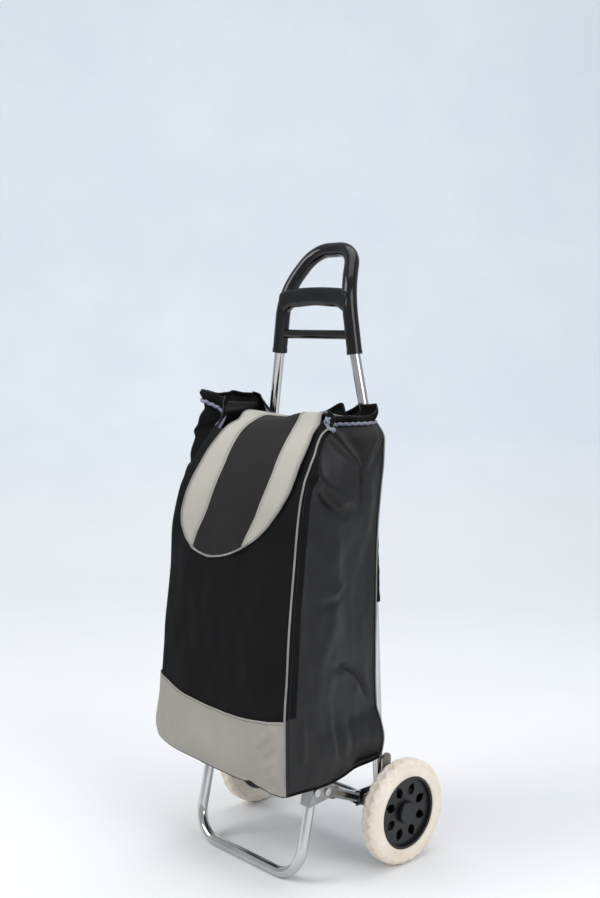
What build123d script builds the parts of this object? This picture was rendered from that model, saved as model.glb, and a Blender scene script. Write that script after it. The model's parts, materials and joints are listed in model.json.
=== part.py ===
from build123d import *
import os
from math import atan2, cos, degrees, radians, sin, tan

# Two-wheeled folding trolley with a fabric bag. Millimetres, +Z up, +X to the trolley's left-hand
# wheel seen from behind, the stand and the bag's front towards -Y. Every point below is written
# from the axle, y = 0; the finished pieces are shifted so that the origin is at the middle of the
# footprint, on the floor.

# ---------------------------------------------------------------- driving dimensions
tube_d = 16.0           # chromed frame tube
tube_wall = 1.2
thin_tube_d = 12.0      # shelf tube
thin_wall = 1.0
run_gap = 0.05          # radial running clearance of a pin in its hole
side_gap = 0.4          # side clearance between parts that turn past each other
fold_gap = 0.6          # clearance where folded parts come to rest

wheel_d = 160.0
tyre_w = 27.0
hub_r = 55.5
hub_w = 22.0
hub_rim = 4.0
hub_disc = 4.0
hub_back = 3.0          # closed inner wall of the hub
hub_boss_r = 15.0
hub_holes = 8
hub_hole_in = 25.0      # radial place of each leaf-shaped hole, from and to
hub_hole_out = 45.0
hub_hole_w = 13.0
cap_r = 17.0
cap_h = 6.0
track_outer = 359.6     # over the outer faces of the two tyres
axle_d = 10.0
washer_t = 2.0
washer_d = 22.0

tube_x_low = 117.0      # rear tube, half spacing at the axle
tube_x_knee = 107.7     # and at its knee
knee_z = 652.0
knee_y = -14.0
knee_r = 300.0
tube_foot = 20.0        # length of the tube below the axle
tube_x_top = 83.3       # where the tube enters the handle
tube_y_top = -18.7
tube_top_z = 773.4
plug_h = 5.0

grip_d = 23.0           # handle arch
grip_socket = 28.0      # length of tube held in each leg of the arch
arch_knee = (70.5, -19.0, 860.0)
arch_top = (42.0, 22.0, 926.0)
arch_knee_r = 130.0
arch_top_r = 45.0
mid_z = 855.0
mid_h = 27.0
mid_depth = 17.0
mid_crown = 4.0
bar_z = 796.5
bar_d = 14.0

foot_w = 234.0          # stand, between the centres of its legs
foot_bar_y = -171.0
foot_lean = 0.235       # the legs lean back by this much per unit of height
foot_bend_r = 45.0
leg_cap_t = 2.5
rest_gap = 0.3          # between the leg's cap and the shelf that rests on it
strut_front = (-119.6, 131.0)   # y, z of the strut's front pivot, on the stand's leg bracket
strut_back = (-31.0, 93.0)      # y, z of its rear pivot, on the rear tube's bracket
strut_flat = 7.0        # thickness of its flattened ends
strut_eye_r = 10.0
strut_flat_len = 22.0
cheek_t = 1.8           # pressed steel of the brackets
cheek_h = 30.0
pin_d = 6.0
rivet_head_d = 11.0
rivet_head_h = 2.5

shelf_pivot = (-28.0, 153.0)    # y, z of the shelf's hinge
shelf_front_y = -141.0
shelf_half = 92.0
lug_t = 3.0
lug_r = 9.0
board_t = 3.0
board_half = 132.0
board_front = -204.0
board_rear_gap = 1.0    # board behind the shelf's lugs

brace_low_z = 153.0
brace_high_z = 600.0
plate_t = 3.0
plate_top = 150.0
plate_w = 18.0

cloth = 3.0             # thickness that each sewn panel is given
floor_gap = 0.5         # bag's floor over the board
sleeve_wall = 2.6
sleeve_low = 396.0
sleeve_high = 645.0
band_top = 268.0
piping = 4.5
cord_t = 4.0
cord_z = 668.0
collar_low = 680.0
collar_high = 702.0
flap_off = 6.0          # the flap hangs this far in front of the bag's face
flap_t = 3.0
flap_rise = 0.3         # its top lies this far over the mouth's cut-down rim
flap_top_half = 85.0
flap_pass = 6.0
flap_shift = [(684.0, 0.0, 85.0), (655.0, 8.0, 101.0), (580.0, 5.0, 112.0),
              (535.0, -12.0, 104.0), (503.0, -24.0, 78.0), (482.0, -32.0, 44.0),
              (474.0, -36.0, 12.0)]   # height, middle and half width of the flap

# height, half width, front seam, how far the middle of the front stands out
bag_levels = [(152.0, 149.0, -222.0, 6.0), (band_top, 146.0, -219.0, 8.0),
              (380.0, 143.5, -208.0, 10.0), (475.0, 141.0, -194.0, 11.0),
              (560.0, 138.0, -177.0, 10.0), (612.0, 134.0, -154.0, 7.0),
              (650.0, 128.0, -131.0, 4.0), (collar_low, 122.0, -110.0, 2.0)]

# ---------------------------------------------------------------- derived
wheel_r = wheel_d / 2
tube_r = tube_d / 2
axle_z = wheel_r
lean_y = knee_y / (knee_z - axle_z)
lean_x = (tube_x_knee - tube_x_low) / (knee_z - axle_z)
tyre_out = track_outer / 2
tyre_in = tyre_out - tyre_w
bag_front = min(lev[2] - lev[3] for lev in bag_levels)
shift_y = -(bag_front + wheel_r) / 2
foot_x = foot_w / 2
shelf_z = shelf_pivot[1]
shelf_r = thin_tube_d / 2
leg_top_z = shelf_z - shelf_r - leg_cap_t - tube_r * foot_lean - rest_gap
board_low = shelf_z + shelf_r
bag_floor_z = board_low + board_t + floor_gap


def tube_at(z):
    """Centre of the rear tube below its knee: x, y."""
    return tube_x_low + lean_x * (z - axle_z), lean_y * (z - axle_z)


def leg_y(z):
    """Centre of the stand's leg at a height."""
    return foot_bar_y + foot_lean * (z - tube_r)


def rod(a, b, d, wall=0.0):
    """Straight round bar or tube between two points."""
    line = Line(a, b)
    start = Plane(origin=a, z_dir=line % 0)
    body = extrude(start * Circle(d / 2), amount=line.length)
    if wall:
        body -= extrude(start * Circle(d / 2 - wall), amount=line.length)
    return body


def x_rod(x0, x1, y, z, d, bore=0.0):
    """Round bar along X."""
    lo, hi = min(x0, x1), max(x0, x1)
    disc = Plane(origin=(lo, y, z), x_dir=(0, 1, 0), z_dir=(1, 0, 0))
    body = extrude(disc * Circle(d / 2), amount=hi - lo)
    if bore:
        body -= extrude(disc * Circle(bore / 2), amount=hi - lo)
    return body


def x_plate(x0, x1, points):
    """Flat plate along X with a y, z outline."""
    lo, hi = min(x0, x1), max(x0, x1)
    outline = make_face(Polyline(*[(lo, y, z) for y, z in points], close=True))
    return extrude(outline, amount=hi - lo, dir=(1, 0, 0))


def box(x0, x1, y0, y1, z0, z1):
    return Pos((x0 + x1) / 2, (y0 + y1) / 2, (z0 + z1) / 2) * Box(
        abs(x1 - x0), abs(y1 - y0), abs(z1 - z0))


def bar_outline(a, b, r, n=10):
    """Outline of a flat bar with round ends between two y, z points."""
    turn = atan2(b[1] - a[1], b[0] - a[0])
    pts = []
    for centre, base in ((b, turn - radians(90)), (a, turn + radians(90))):
        for i in range(n + 1):
            t = base + radians(180) * i / n
            pts.append((centre[0] + r * cos(t), centre[1] + r * sin(t)))
    return pts


def round_end_bar(x0, x1, a, b, r):
    """Flat bar along X with true round ends."""
    lo, hi = min(x0, x1), max(x0, x1)
    dy, dz = b[0] - a[0], b[1] - a[1]
    length = (dy * dy + dz * dz) ** 0.5
    ny, nz = -dz / length * r, dy / length * r
    body = x_plate(lo, hi, [(a[0] + ny, a[1] + nz), (b[0] + ny, b[1] + nz),
                            (b[0] - ny, b[1] - nz), (a[0] - ny, a[1] - nz)])
    return body + x_rod(lo, hi, a[0], a[1], 2 * r) + x_rod(lo, hi, b[0], b[1], 2 * r)


def sides(make):
    """The same piece on both sides; make(s) gets +1 for the right one and -1 for the left."""
    return {"right": make(1), "left": make(-1)}


parts = {}


def keep(name, shape):
    parts[name] = shape


# ---------------------------------------------------------------- rear frame
def rear_path(s, top=None):
    low_z = axle_z - tube_foot
    lx, ly = tube_at(low_z)
    top = top or (tube_x_top, tube_y_top, tube_top_z)
    return FilletPolyline((s * lx, ly, low_z), (s * tube_x_knee, knee_y, knee_z),
                          (s * top[0], top[1], top[2]), radius=knee_r)


def tube_end(extra):
    """A point further along the upper run of the tube, as an unsigned x, y, z."""
    dx, dy, dz = tube_x_top - tube_x_knee, tube_y_top - knee_y, tube_top_z - knee_z
    length = (dx * dx + dy * dy + dz * dz) ** 0.5
    k = 1 + extra / length
    return tube_x_knee + dx * k, knee_y + dy * k, knee_z + dz * k


def swept(path, d, bore=0.0):
    start = Plane(origin=path @ 0, z_dir=path % 0)
    body = sweep(start * Circle(d / 2), path=path)
    if bore:
        body -= sweep(start * Circle(bore / 2), path=path)
    return body


axle_hole = x_rod(-tyre_out, tyre_out, 0, axle_z, axle_d + 2 * run_gap)
in_socket = tube_end(grip_socket - 2)


def rear_tube(s):
    return swept(rear_path(s, in_socket), tube_d, tube_d - 2 * tube_wall) - axle_hole


for side, body in sides(rear_tube).items():
    keep(f"rear_tube_{side}", body)


def tube_plug(s):
    low_z = axle_z - tube_foot
    x, y = tube_at(low_z)
    down = Vector(-s * lean_x, -lean_y, -1).normalized()
    foot = Vector(s * x, y, low_z)
    return rod(tuple(foot), tuple(foot + down * plug_h), tube_d + 2)


for side, body in sides(tube_plug).items():
    keep(f"tube_plug_{side}", body)

# axle, through both rear tubes and both hubs
axle_end = tyre_out - 6.0
keep("axle", x_rod(-axle_end, axle_end, 0, axle_z, axle_d))

plate_in = tube_x_low + tube_r + 1.0
plate_out = plate_in + plate_t


def axle_plate(s):
    plate = round_end_bar(s * plate_in, s * plate_out, (0, axle_z), (5.0, plate_top), plate_w / 2)
    plate += x_rod(s * (tube_x_low + tube_r - 3), s * plate_in, 2.0, plate_top - 2, 8)
    keep_clear = swept(rear_path(s, in_socket), tube_d)
    return plate - keep_clear - x_rod(s * plate_in, s * plate_out, 0, axle_z, axle_d + 2 * run_gap)


for side, body in sides(axle_plate).items():
    keep(f"axle_plate_{side}", body)


def washer(s):
    return x_rod(s * plate_out, s * (plate_out + washer_t), 0, axle_z, washer_d,
                 axle_d + 2 * run_gap)


for side, body in sides(washer).items():
    keep(f"axle_washer_{side}", body)

# cross braces between the rear tubes
clear_tubes = swept(rear_path(1, in_socket), tube_d) + swept(rear_path(-1, in_socket), tube_d)
for name, z in (("brace_low", brace_low_z), ("brace_high", brace_high_z)):
    x, y = tube_at(z)
    keep(name, x_rod(-x, x, y, z, thin_tube_d, thin_tube_d - 2 * thin_wall) - clear_tubes)

# ---------------------------------------------------------------- handle
arch_low = (tube_x_top, tube_y_top, tube_top_z)
arch_pts = [arch_low, arch_knee, arch_top]
arch_path = FilletPolyline(*arch_pts, *[(-x, y, z) for x, y, z in reversed(arch_pts)],
                           radius=[arch_knee_r, arch_top_r, arch_top_r, arch_knee_r])
arch = swept(arch_path, grip_d)
arch -= clear_tubes
# rolled lip at the bottom of each leg
for s in (1, -1):
    a = Vector(s * arch_low[0], arch_low[1], arch_low[2])
    b = Vector(s * arch_knee[0], arch_knee[1], arch_knee[2])
    up = (b - a).normalized()
    lip = rod(tuple(a - up * 6), tuple(a), grip_d + 1.0)
    arch += lip - clear_tubes
keep("handle_arch", arch)


def arch_at(z):
    """Centre of the arch's leg at a height: unsigned x, y."""
    p, q = (arch_low, arch_knee) if z < arch_knee[2] else (arch_knee, arch_top)
    t = (z - p[2]) / (q[2] - p[2])
    return p[0] + t * (q[0] - p[0]), p[1] + t * (q[1] - p[1])


bx, by = arch_at(bar_z)
cut_arch = swept(arch_path, grip_d)
keep("handle_crossbar", x_rod(-bx, bx, by, bar_z, bar_d) - cut_arch)
gx, gy = arch_at(mid_z)
half_h = mid_h / 2
grip_line = [(-gx, mid_z - half_h + 2), (-gx * 0.6, mid_z - half_h), (-gx * 0.2, mid_z - half_h + 2),
             (gx * 0.2, mid_z - half_h + 2), (gx * 0.6, mid_z - half_h), (gx, mid_z - half_h + 2)]
low_edge = Spline(*[(x, gy, z) for x, z in grip_line])
top_edge = ThreePointArc((gx, gy, mid_z + half_h - mid_crown), (0, gy, mid_z + half_h),
                         (-gx, gy, mid_z + half_h - mid_crown))
mid_face = make_face([low_edge, Line(low_edge @ 1, top_edge @ 0), top_edge,
                      Line(top_edge @ 1, low_edge @ 0)])
mid = extrude(mid_face, amount=mid_depth / 2, dir=(0, 1, 0), both=True)
mid = fillet(mid.edges().filter_by(GeomType.LINE, reverse=True), 5.0)
keep("handle_mid_grip", mid - cut_arch)

# ---------------------------------------------------------------- brackets with two cheeks
cheek_in = tube_r + 0.2         # half the gap between the cheeks


def channel(s, mid_x, tube_yz, pivot, head_z, low, high, wrap_back):
    """Pressed channel round a tube: two cheeks joined round the tube's far side."""
    w = cheek_in + cheek_t
    back = tube_yz[0] + (tube_r + cheek_t + 0.2) * wrap_back
    near = min(pivot[0] + wrap_back * 0, tube_yz[0])
    y0, y1 = sorted((back, pivot[0] - wrap_back * strut_eye_r))
    body = box(s * (mid_x - w), s * (mid_x + w), y0, y1, low, high)
    inner0, inner1 = sorted((tube_yz[0] + (tube_r + 0.2) * wrap_back,
                             pivot[0] - wrap_back * (strut_eye_r + 5)))
    body -= box(s * (mid_x - cheek_in), s * (mid_x + cheek_in), inner0, inner1, low - 5, high + 5)
    return body


rear_mid_x = tube_at(strut_back[1])[0]
back_low, back_high = strut_back[1] - 12.0, strut_back[1] + 12.0


def strut_bracket(s):
    x, y = tube_at(strut_back[1])
    body = channel(s, x, (y, strut_back[1]), strut_back, 0, back_low, back_high, 1)
    body -= x_rod(s * (x - 20), s * (x + 20), strut_back[0], strut_back[1], pin_d)
    body -= axle_hole
    body -= x_rod(s * (plate_in - 0.1), s * (plate_out + 0.1), 0, axle_z, 40)
    body -= axle_plate(s)
    return body - clear_tubes


for side, body in sides(strut_bracket).items():
    keep(f"strut_bracket_{side}", body)


def pin_with_heads(s, mid_x, y, z, half):
    body = x_rod(s * (mid_x - half), s * (mid_x + half), y, z, pin_d)
    for end in (-1, 1):
        a = mid_x + end * half
        body += x_rod(s * a, s * (a + end * rivet_head_h), y, z, rivet_head_d)
    return body


for side, body in sides(lambda s: pin_with_heads(s, rear_mid_x, *strut_back,
                                                  cheek_in + cheek_t)).items():
    keep(f"strut_rear_rivet_{side}", body)

# ---------------------------------------------------------------- struts
lift = atan2(strut_front[1] - strut_back[1], -(strut_front[0] - strut_back[0]))


def strut(s):
    """Tube with flattened ends that reach round the two rivets."""
    x = (rear_mid_x + foot_x) / 2
    dy, dz = strut_front[0] - strut_back[0], strut_front[1] - strut_back[1]
    length = (dy * dy + dz * dz) ** 0.5
    uy, uz = dy / length, dz / length

    def on(d):
        return strut_back[0] + uy * d, strut_back[1] + uz * d
    flat = strut_flat_len
    a, b = on(flat), on(length - flat)
    body = rod((s * rear_mid_x, *a), (s * foot_x, *b), tube_d)
    for (p, q, mx) in ((strut_back, a, rear_mid_x), (strut_front, b, foot_x)):
        h = strut_flat / 2
        body += round_end_bar(s * (mx - h), s * (mx + h), p, q, strut_eye_r)
    for (p, mx) in ((strut_back, rear_mid_x), (strut_front, foot_x)):
        body -= x_rod(s * (mx - 20), s * (mx + 20), *p, pin_d + 2 * run_gap)
    return body


for side, body in sides(strut).items():
    keep(f"strut_{side}", body)

# ---------------------------------------------------------------- folding stand
foot_top = (leg_y(leg_top_z), leg_top_z)
foot_path = FilletPolyline((foot_x, foot_top[0], foot_top[1]), (foot_x, foot_bar_y, tube_r),
                           (-foot_x, foot_bar_y, tube_r), (-foot_x, foot_top[0], foot_top[1]),
                           radius=foot_bend_r)
keep("foot_loop", swept(foot_path, tube_d, tube_d - 2 * tube_wall))
clear_foot = swept(foot_path, tube_d)


def leg_bracket(s):
    """Channel round the leg, open to the rear, leaning with the leg."""
    y, z = leg_y(strut_front[1]), strut_front[1]
    w = cheek_in + cheek_t
    h = cheek_h / 2
    y_front = y - tube_r - 0.2 - cheek_t
    y_back = strut_front[0] + strut_eye_r
    tip = [(y_front, z - h), (y_back - 6, z - h + 4), (y_back, z - h + 12), (y_back, z + 8),
           (y_back - 5, z + 12), (y_front, z + h - 4)]
    lean = [(a + foot_lean * (b - z), b) for a, b in tip]
    body = x_plate(s * (foot_x - w), s * (foot_x + w), lean)
    slot = [(y - tube_r - 0.2, z - 3 * h), (y_back + 20, z - 3 * h), (y_back + 20, z + 3 * h),
            (y - tube_r - 0.2, z + 3 * h)]
    slot = [(a + foot_lean * (b - z), b) for a, b in slot]
    body -= x_plate(s * (foot_x - cheek_in), s * (foot_x + cheek_in), slot)
    body -= x_rod(s * (foot_x - 20), s * (foot_x + 20), *strut_front, pin_d)
    body -= x_rod(s * (foot_x - 20), s * (foot_x + 20), leg_y(strut_front[1] + 4),
                  strut_front[1] + 4, pin_d)
    return body - clear_foot


for side, body in sides(leg_bracket).items():
    keep(f"leg_bracket_{side}", body)
for side, body in sides(lambda s: pin_with_heads(s, foot_x, *strut_front,
                                                  cheek_in + cheek_t)).items():
    keep(f"strut_front_rivet_{side}", body)


def leg_rivet(s):
    z = strut_front[1] + 4
    body = pin_with_heads(s, foot_x, leg_y(z), z, cheek_in + cheek_t)
    return body - clear_foot


for side in ("right", "left"):
    s = 1 if side == "right" else -1
    z = strut_front[1] + 4
    heads = pin_with_heads(s, foot_x, leg_y(z), z, cheek_in + cheek_t)
    parts["foot_loop"] -= x_rod(s * (foot_x - 20), s * (foot_x + 20), leg_y(z), z, pin_d)
    keep(f"leg_rivet_{side}", heads)


def leg_cap(s):
    a = Vector(s * foot_x, *foot_top)
    up = Vector(0, foot_lean, 1).normalized()
    return rod(tuple(a), tuple(a + up * leg_cap_t), tube_d)


for side, body in sides(leg_cap).items():
    keep(f"leg_cap_{side}", body)

# ---------------------------------------------------------------- shelf under the bag
wide = foot_x + tube_r
shelf_front = x_rod(-wide, wide, shelf_front_y, shelf_z, thin_tube_d)


def shelf_rail(s):
    x = s * shelf_half
    rail = rod((x, shelf_pivot[0] - 10, shelf_z), (x, shelf_front_y, shelf_z), thin_tube_d)
    rail += round_end_bar(x - 3, x + 3, (shelf_pivot[0], shelf_z), (shelf_pivot[0] - 14, shelf_z),
                          shelf_r)
    rail -= x_rod(x - 10, x + 10, *shelf_pivot, pin_d + 2 * run_gap)
    return rail


rails = sides(shelf_rail)
keep("shelf_front_tube", shelf_front)
for side, body in rails.items():
    keep(f"shelf_rail_{side}", body - shelf_front)
lug_in = shelf_half + 3 + side_gap
lx_, low_y = tube_at(brace_low_z)
low_brace_solid = x_rod(-lx_, lx_, low_y, brace_low_z, thin_tube_d)


def shelf_lug(s):
    """Plate welded to the low cross brace, with the pin that the rail turns on."""
    body = round_end_bar(s * lug_in, s * (lug_in + lug_t), shelf_pivot, (low_y, brace_low_z), lug_r)
    body += x_rod(s * (shelf_half - 3 - side_gap), s * lug_in, *shelf_pivot, pin_d)
    body += x_rod(s * (shelf_half - 3 - side_gap - rivet_head_h),
                  s * (shelf_half - 3 - side_gap), *shelf_pivot, rivet_head_d - 1)
    return body - low_brace_solid


for side, body in sides(shelf_lug).items():
    keep(f"shelf_lug_{side}", body)

keep("base_board", box(-board_half, board_half, board_front,
                       shelf_pivot[0] - lug_r - board_rear_gap,
                       board_low, board_low + board_t))

# ---------------------------------------------------------------- wheels
def yz_disc(x, r):
    return Plane(origin=(x, 0, axle_z), x_dir=(0, 1, 0), z_dir=(1, 0, 0)) * Circle(r)


def tyre(s):
    """Round-shouldered ring, turned about the axle."""
    w = tyre_w / 2
    mid_x = s * (tyre_out - w)
    ring = x_rod(mid_x - w, mid_x + w, 0, axle_z, wheel_d)
    ring = fillet(ring.edges().filter_by(GeomType.CIRCLE), 9.0)
    ring -= x_rod(mid_x - w - 1, mid_x + w + 1, 0, axle_z, 2 * hub_r)
    return ring


for side, body in sides(tyre).items():
    keep(f"tyre_{side}", body)

hub_mid = tyre_out - tyre_w / 2
boss_in = plate_out + washer_t + side_gap
disc_out = hub_mid + hub_w / 2 - 5.0
boss_out = disc_out + 2.0


def leaf(s, k):
    """Leaf-shaped hole through the hub's outer disc, pointed outwards."""
    half = hub_hole_w / 2
    span = hub_hole_out - hub_hole_in
    pts = [(hub_hole_in, 0), (hub_hole_in + 0.3 * span, half), (hub_hole_out, 0),
           (hub_hole_in + 0.3 * span, -half)]
    t = radians(360 / hub_holes * k)
    world = [(u * cos(t) - v * sin(t), axle_z + u * sin(t) + v * cos(t)) for u, v in pts]
    lo = min(s * (disc_out - hub_disc - 1), s * (disc_out + 1))
    pts3 = [(lo, y, z) for y, z in world]
    upper = Spline(pts3[0], pts3[1], pts3[2])
    lower = Spline(pts3[2], pts3[3], pts3[0])
    return extrude(make_face([upper, lower]), amount=hub_disc + 2, dir=(1, 0, 0))


def hub(s):
    x0, x1 = hub_mid - hub_w / 2, hub_mid + hub_w / 2
    body = x_rod(s * x0, s * x1, 0, axle_z, 2 * hub_r, 2 * (hub_r - hub_rim))
    body += x_rod(s * (disc_out - hub_disc), s * disc_out, 0, axle_z, 2 * (hub_r - 1))
    body += x_rod(s * x0, s * (x0 + hub_back), 0, axle_z, 2 * (hub_r - 1))
    body += x_rod(s * boss_in, s * boss_out, 0, axle_z, 2 * hub_boss_r)
    body -= x_rod(s * (boss_in - 1), s * (boss_out + 1), 0, axle_z, axle_d + 2 * run_gap)
    for k in range(hub_holes):
        body -= leaf(s, k + 0.5)
    return body


for side, body in sides(hub).items():
    keep(f"hub_{side}", body)


def hub_cap(s):
    cap = x_rod(s * boss_out, s * (boss_out + cap_h), 0, axle_z, 2 * cap_r)
    outer = cap.edges().filter_by(GeomType.CIRCLE).sort_by(Axis.X)[-1 if s > 0 else 0]
    cap = fillet(outer, 2.5)
    cap -= x_rod(s * (boss_out - 1), s * (axle_end + 1.0), 0, axle_z, axle_d + 2)
    return cap


for side, body in sides(hub_cap).items():
    keep(f"hub_cap_{side}", body)

# ---------------------------------------------------------------- bag
def level_at(z):
    """Half width, front seam and crown of the bag at a height."""
    levels = bag_levels
    if z <= levels[0][0]:
        return levels[0][1:]
    for a, b in zip(levels, levels[1:]):
        if z <= b[0]:
            t = (z - a[0]) / (b[0] - a[0])
            return tuple(p + t * (q - p) for p, q in zip(a[1:], b[1:]))
    a, b = levels[-2], levels[-1]
    t = (z - a[0]) / (b[0] - a[0])
    return tuple(p + t * (q - p) for p, q in zip(a[1:], b[1:]))


def back_y(z):
    return min(tube_at(min(z, knee_z))[1], 0) - tube_r - sleeve_wall - 0.2


def poly_loft(zs, outline):
    """Straight-sided loft through horizontal outlines; outline(z) lists x, y points."""
    faces = [make_face(Polyline(*[(x, y, z) for x, y in outline(z)], close=True)) for z in zs]
    return loft(faces, ruled=True)


def heights(lo, hi):
    inner = sorted([lev[0] for lev in bag_levels] + [knee_z])
    return [lo, *[z for z in inner if lo + 0.5 < z < hi - 0.5], hi]


def front_edge(z, off, half=None):
    """The four points of the front face, off outwards, from left to right."""
    hw, fy, crown = level_at(z)
    hw = half if half is not None else hw
    return [(-hw, fy - off), (-hw * 0.5, fy - crown - off), (hw * 0.5, fy - crown - off),
            (hw, fy - off)]


def front_slab(lo, hi, off, t):
    def outline(z):
        return front_edge(z, off + t) + list(reversed(front_edge(z, off)))
    return poly_loft(heights(lo, hi), outline)


low_z, top_z = bag_levels[0][0], bag_levels[-1][0]
keep("bag_band", front_slab(low_z, band_top, -cloth, cloth))
keep("bag_front", front_slab(band_top, top_z, -cloth, cloth))


def gusset(s):
    def outline(z):
        hw, fy, crown = level_at(z)
        b = back_y(z) - cloth
        return [(s * (hw - cloth), fy + cloth), (s * hw, fy + cloth), (s * hw, b),
                (s * (hw - cloth), b)]
    return poly_loft(heights(low_z, top_z), outline)


for side, body in sides(gusset).items():
    keep(f"bag_gusset_{side}", body)


def back_outline(z):
    hw = level_at(z)[0]
    b = back_y(z)
    return [(-hw, b - cloth), (hw, b - cloth), (hw, b), (-hw, b)]


# the back panel stops at the floor, so the shelf's lugs pass under it
keep("bag_back", poly_loft(heights(bag_floor_z, top_z), back_outline))


def floor_outline(z):
    hw, fy, crown = level_at(bag_floor_z + cloth)
    rear = back_y(bag_floor_z + cloth) - cloth
    return [(-hw + cloth, fy + cloth), (hw - cloth, fy + cloth), (hw - cloth, rear),
            (-hw + cloth, rear)]


keep("bag_floor", poly_loft([bag_floor_z, bag_floor_z + cloth], floor_outline))


def front_piping(s):
    def outline(z):
        hw, fy, crown = level_at(z)
        return [(s * hw, fy - piping / 2), (s * (hw + piping), fy - piping / 2),
                (s * (hw + piping), fy + piping / 2), (s * hw, fy + piping / 2)]
    return poly_loft(heights(low_z, cord_z - 1), outline)


def rear_piping(s):
    def outline(z):
        hw = level_at(z)[0]
        b = back_y(z) - cloth / 2
        return [(s * hw, b - piping / 2), (s * (hw + piping), b - piping / 2),
                (s * (hw + piping), b + piping / 2), (s * hw, b + piping / 2)]
    return poly_loft(heights(wheel_d + 2, cord_z - 1), outline)


for side, body in sides(front_piping).items():
    keep(f"piping_front_{side}", body)
for side, body in sides(rear_piping).items():
    keep(f"piping_rear_{side}", body)


def ring(zs, off, t):
    """Closed ring round the bag's outline, from off outwards by t."""
    def outer(z, o):
        return front_edge(z, o, level_at(z)[0] + o) + [(level_at(z)[0] + o, back_y(z) + o),
                                                       (-level_at(z)[0] - o, back_y(z) + o)]
    return poly_loft(zs, lambda z: outer(z, off + t)) - poly_loft(zs, lambda z: outer(z, off))


cord = ring([cord_z, cord_z + cord_t], 0.0, cord_t)
for s in (1, -1):
    cord -= swept(rear_path(s, in_socket), tube_d + 1.0)
keep("drawcord", cord)
mouth_cut = box(-flap_top_half - flap_pass, flap_top_half + flap_pass, bag_front, 40,
                collar_low, collar_high + 20)
collar_ring = poly_loft([collar_low, collar_high], lambda z: front_edge(collar_low, 0) + [
    (level_at(collar_low)[0], back_y(collar_low)), (-level_at(collar_low)[0], back_y(collar_low))])
collar_ring -= poly_loft([collar_low, collar_high], lambda z: [
    (x * (1 - cloth / level_at(collar_low)[0]), y) for x, y in front_edge(collar_low, -cloth)] + [
    (level_at(collar_low)[0] - cloth, back_y(collar_low) - cloth),
    (-level_at(collar_low)[0] + cloth, back_y(collar_low) - cloth)])
collar_ring -= mouth_cut
halves = collar_ring.solids().sort_by(Axis.X)
keep("collar_left", halves[0])
keep("collar_right", halves[-1])


def sleeve(s):
    """Fabric sleeve of the bag's back, round the rear tube."""
    x0, y0 = tube_at(sleeve_low)
    knee_in = knee_z - 60
    x1, y1 = tube_at(knee_in)
    return rod((s * x0, y0, sleeve_low), (s * x1, y1, knee_in), tube_d + 2 * sleeve_wall,
               sleeve_wall - 0.1)


for side, body in sides(sleeve).items():
    keep(f"sleeve_{side}", body)

# ---------------------------------------------------------------- flap
flap_z = collar_low + flap_rise + flap_t
slab = front_slab(flap_shift[-1][0] - 4, flap_z, flap_off, flap_t)
left = [(cx - w, z) for z, cx, w in flap_shift]
right = [(cx + w, z) for z, cx, w in flap_shift]
outline = [(-flap_top_half, flap_z + 1)] + left[1:] + list(reversed(right[1:])) + [
    (flap_top_half, flap_z + 1)]
cutter = extrude(make_face(Polyline(*[(x, bag_front - 30, z) for x, z in outline], close=True)),
                 amount=260, dir=(0, 1, 0))
flap = slab & cutter
hw_, fy_, cr_ = level_at(flap_z)
rear_edge = back_y(collar_low) - 1.0
top_plate = box(-flap_top_half, flap_top_half, fy_ - flap_off, rear_edge,
                flap_z - flap_t, flap_z)
front_lip = poly_loft([flap_z - flap_t, flap_z],
                      lambda z: [(-flap_top_half, fy_ - flap_off - flap_t),
                                 (flap_top_half, fy_ - flap_off - flap_t),
                                 (flap_top_half, fy_ - flap_off + 1), (-flap_top_half, fy_ - flap_off + 1)])
flap = flap + top_plate + front_lip
keep("flap", flap)

# ---------------------------------------------------------------- files
os.makedirs("parts", exist_ok=True)
for name, shape in parts.items():
    moved = Pos(0, shift_y, 0) * shape
    solids = moved.solids()
    print(f"{name:24s} solids {len(solids)}  volume {sum(x.volume for x in solids):.0f}")
    export_step(solids[0] if len(solids) == 1 else Compound(children=list(solids)),
                f"parts/{name}.step")
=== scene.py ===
"""Looks of a two-wheeled folding shopping trolley: sewn bag, flap, cords, tyres, studio."""
import json
import math
import bpy
import bmesh
import numpy as np
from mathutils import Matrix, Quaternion, Vector, noise

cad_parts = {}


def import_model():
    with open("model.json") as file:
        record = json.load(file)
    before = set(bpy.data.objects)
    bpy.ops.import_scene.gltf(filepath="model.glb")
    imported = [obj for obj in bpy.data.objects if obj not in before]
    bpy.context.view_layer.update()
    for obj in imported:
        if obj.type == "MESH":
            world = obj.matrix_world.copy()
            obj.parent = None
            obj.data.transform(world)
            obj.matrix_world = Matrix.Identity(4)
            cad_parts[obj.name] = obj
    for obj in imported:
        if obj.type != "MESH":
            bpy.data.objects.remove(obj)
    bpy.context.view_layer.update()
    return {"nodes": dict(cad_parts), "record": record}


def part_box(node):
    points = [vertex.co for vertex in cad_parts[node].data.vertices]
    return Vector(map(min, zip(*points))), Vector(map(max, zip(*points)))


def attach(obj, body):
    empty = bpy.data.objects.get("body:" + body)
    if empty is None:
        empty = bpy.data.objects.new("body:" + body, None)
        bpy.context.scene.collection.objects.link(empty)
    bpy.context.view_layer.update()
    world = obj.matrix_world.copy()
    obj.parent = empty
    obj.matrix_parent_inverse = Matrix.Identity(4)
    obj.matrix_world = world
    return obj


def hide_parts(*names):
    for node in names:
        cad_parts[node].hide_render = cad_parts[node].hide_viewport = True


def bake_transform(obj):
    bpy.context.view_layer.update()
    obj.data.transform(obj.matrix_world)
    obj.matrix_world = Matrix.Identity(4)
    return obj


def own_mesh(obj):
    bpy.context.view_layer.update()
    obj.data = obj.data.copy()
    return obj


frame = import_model()
MM = 0.001
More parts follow.
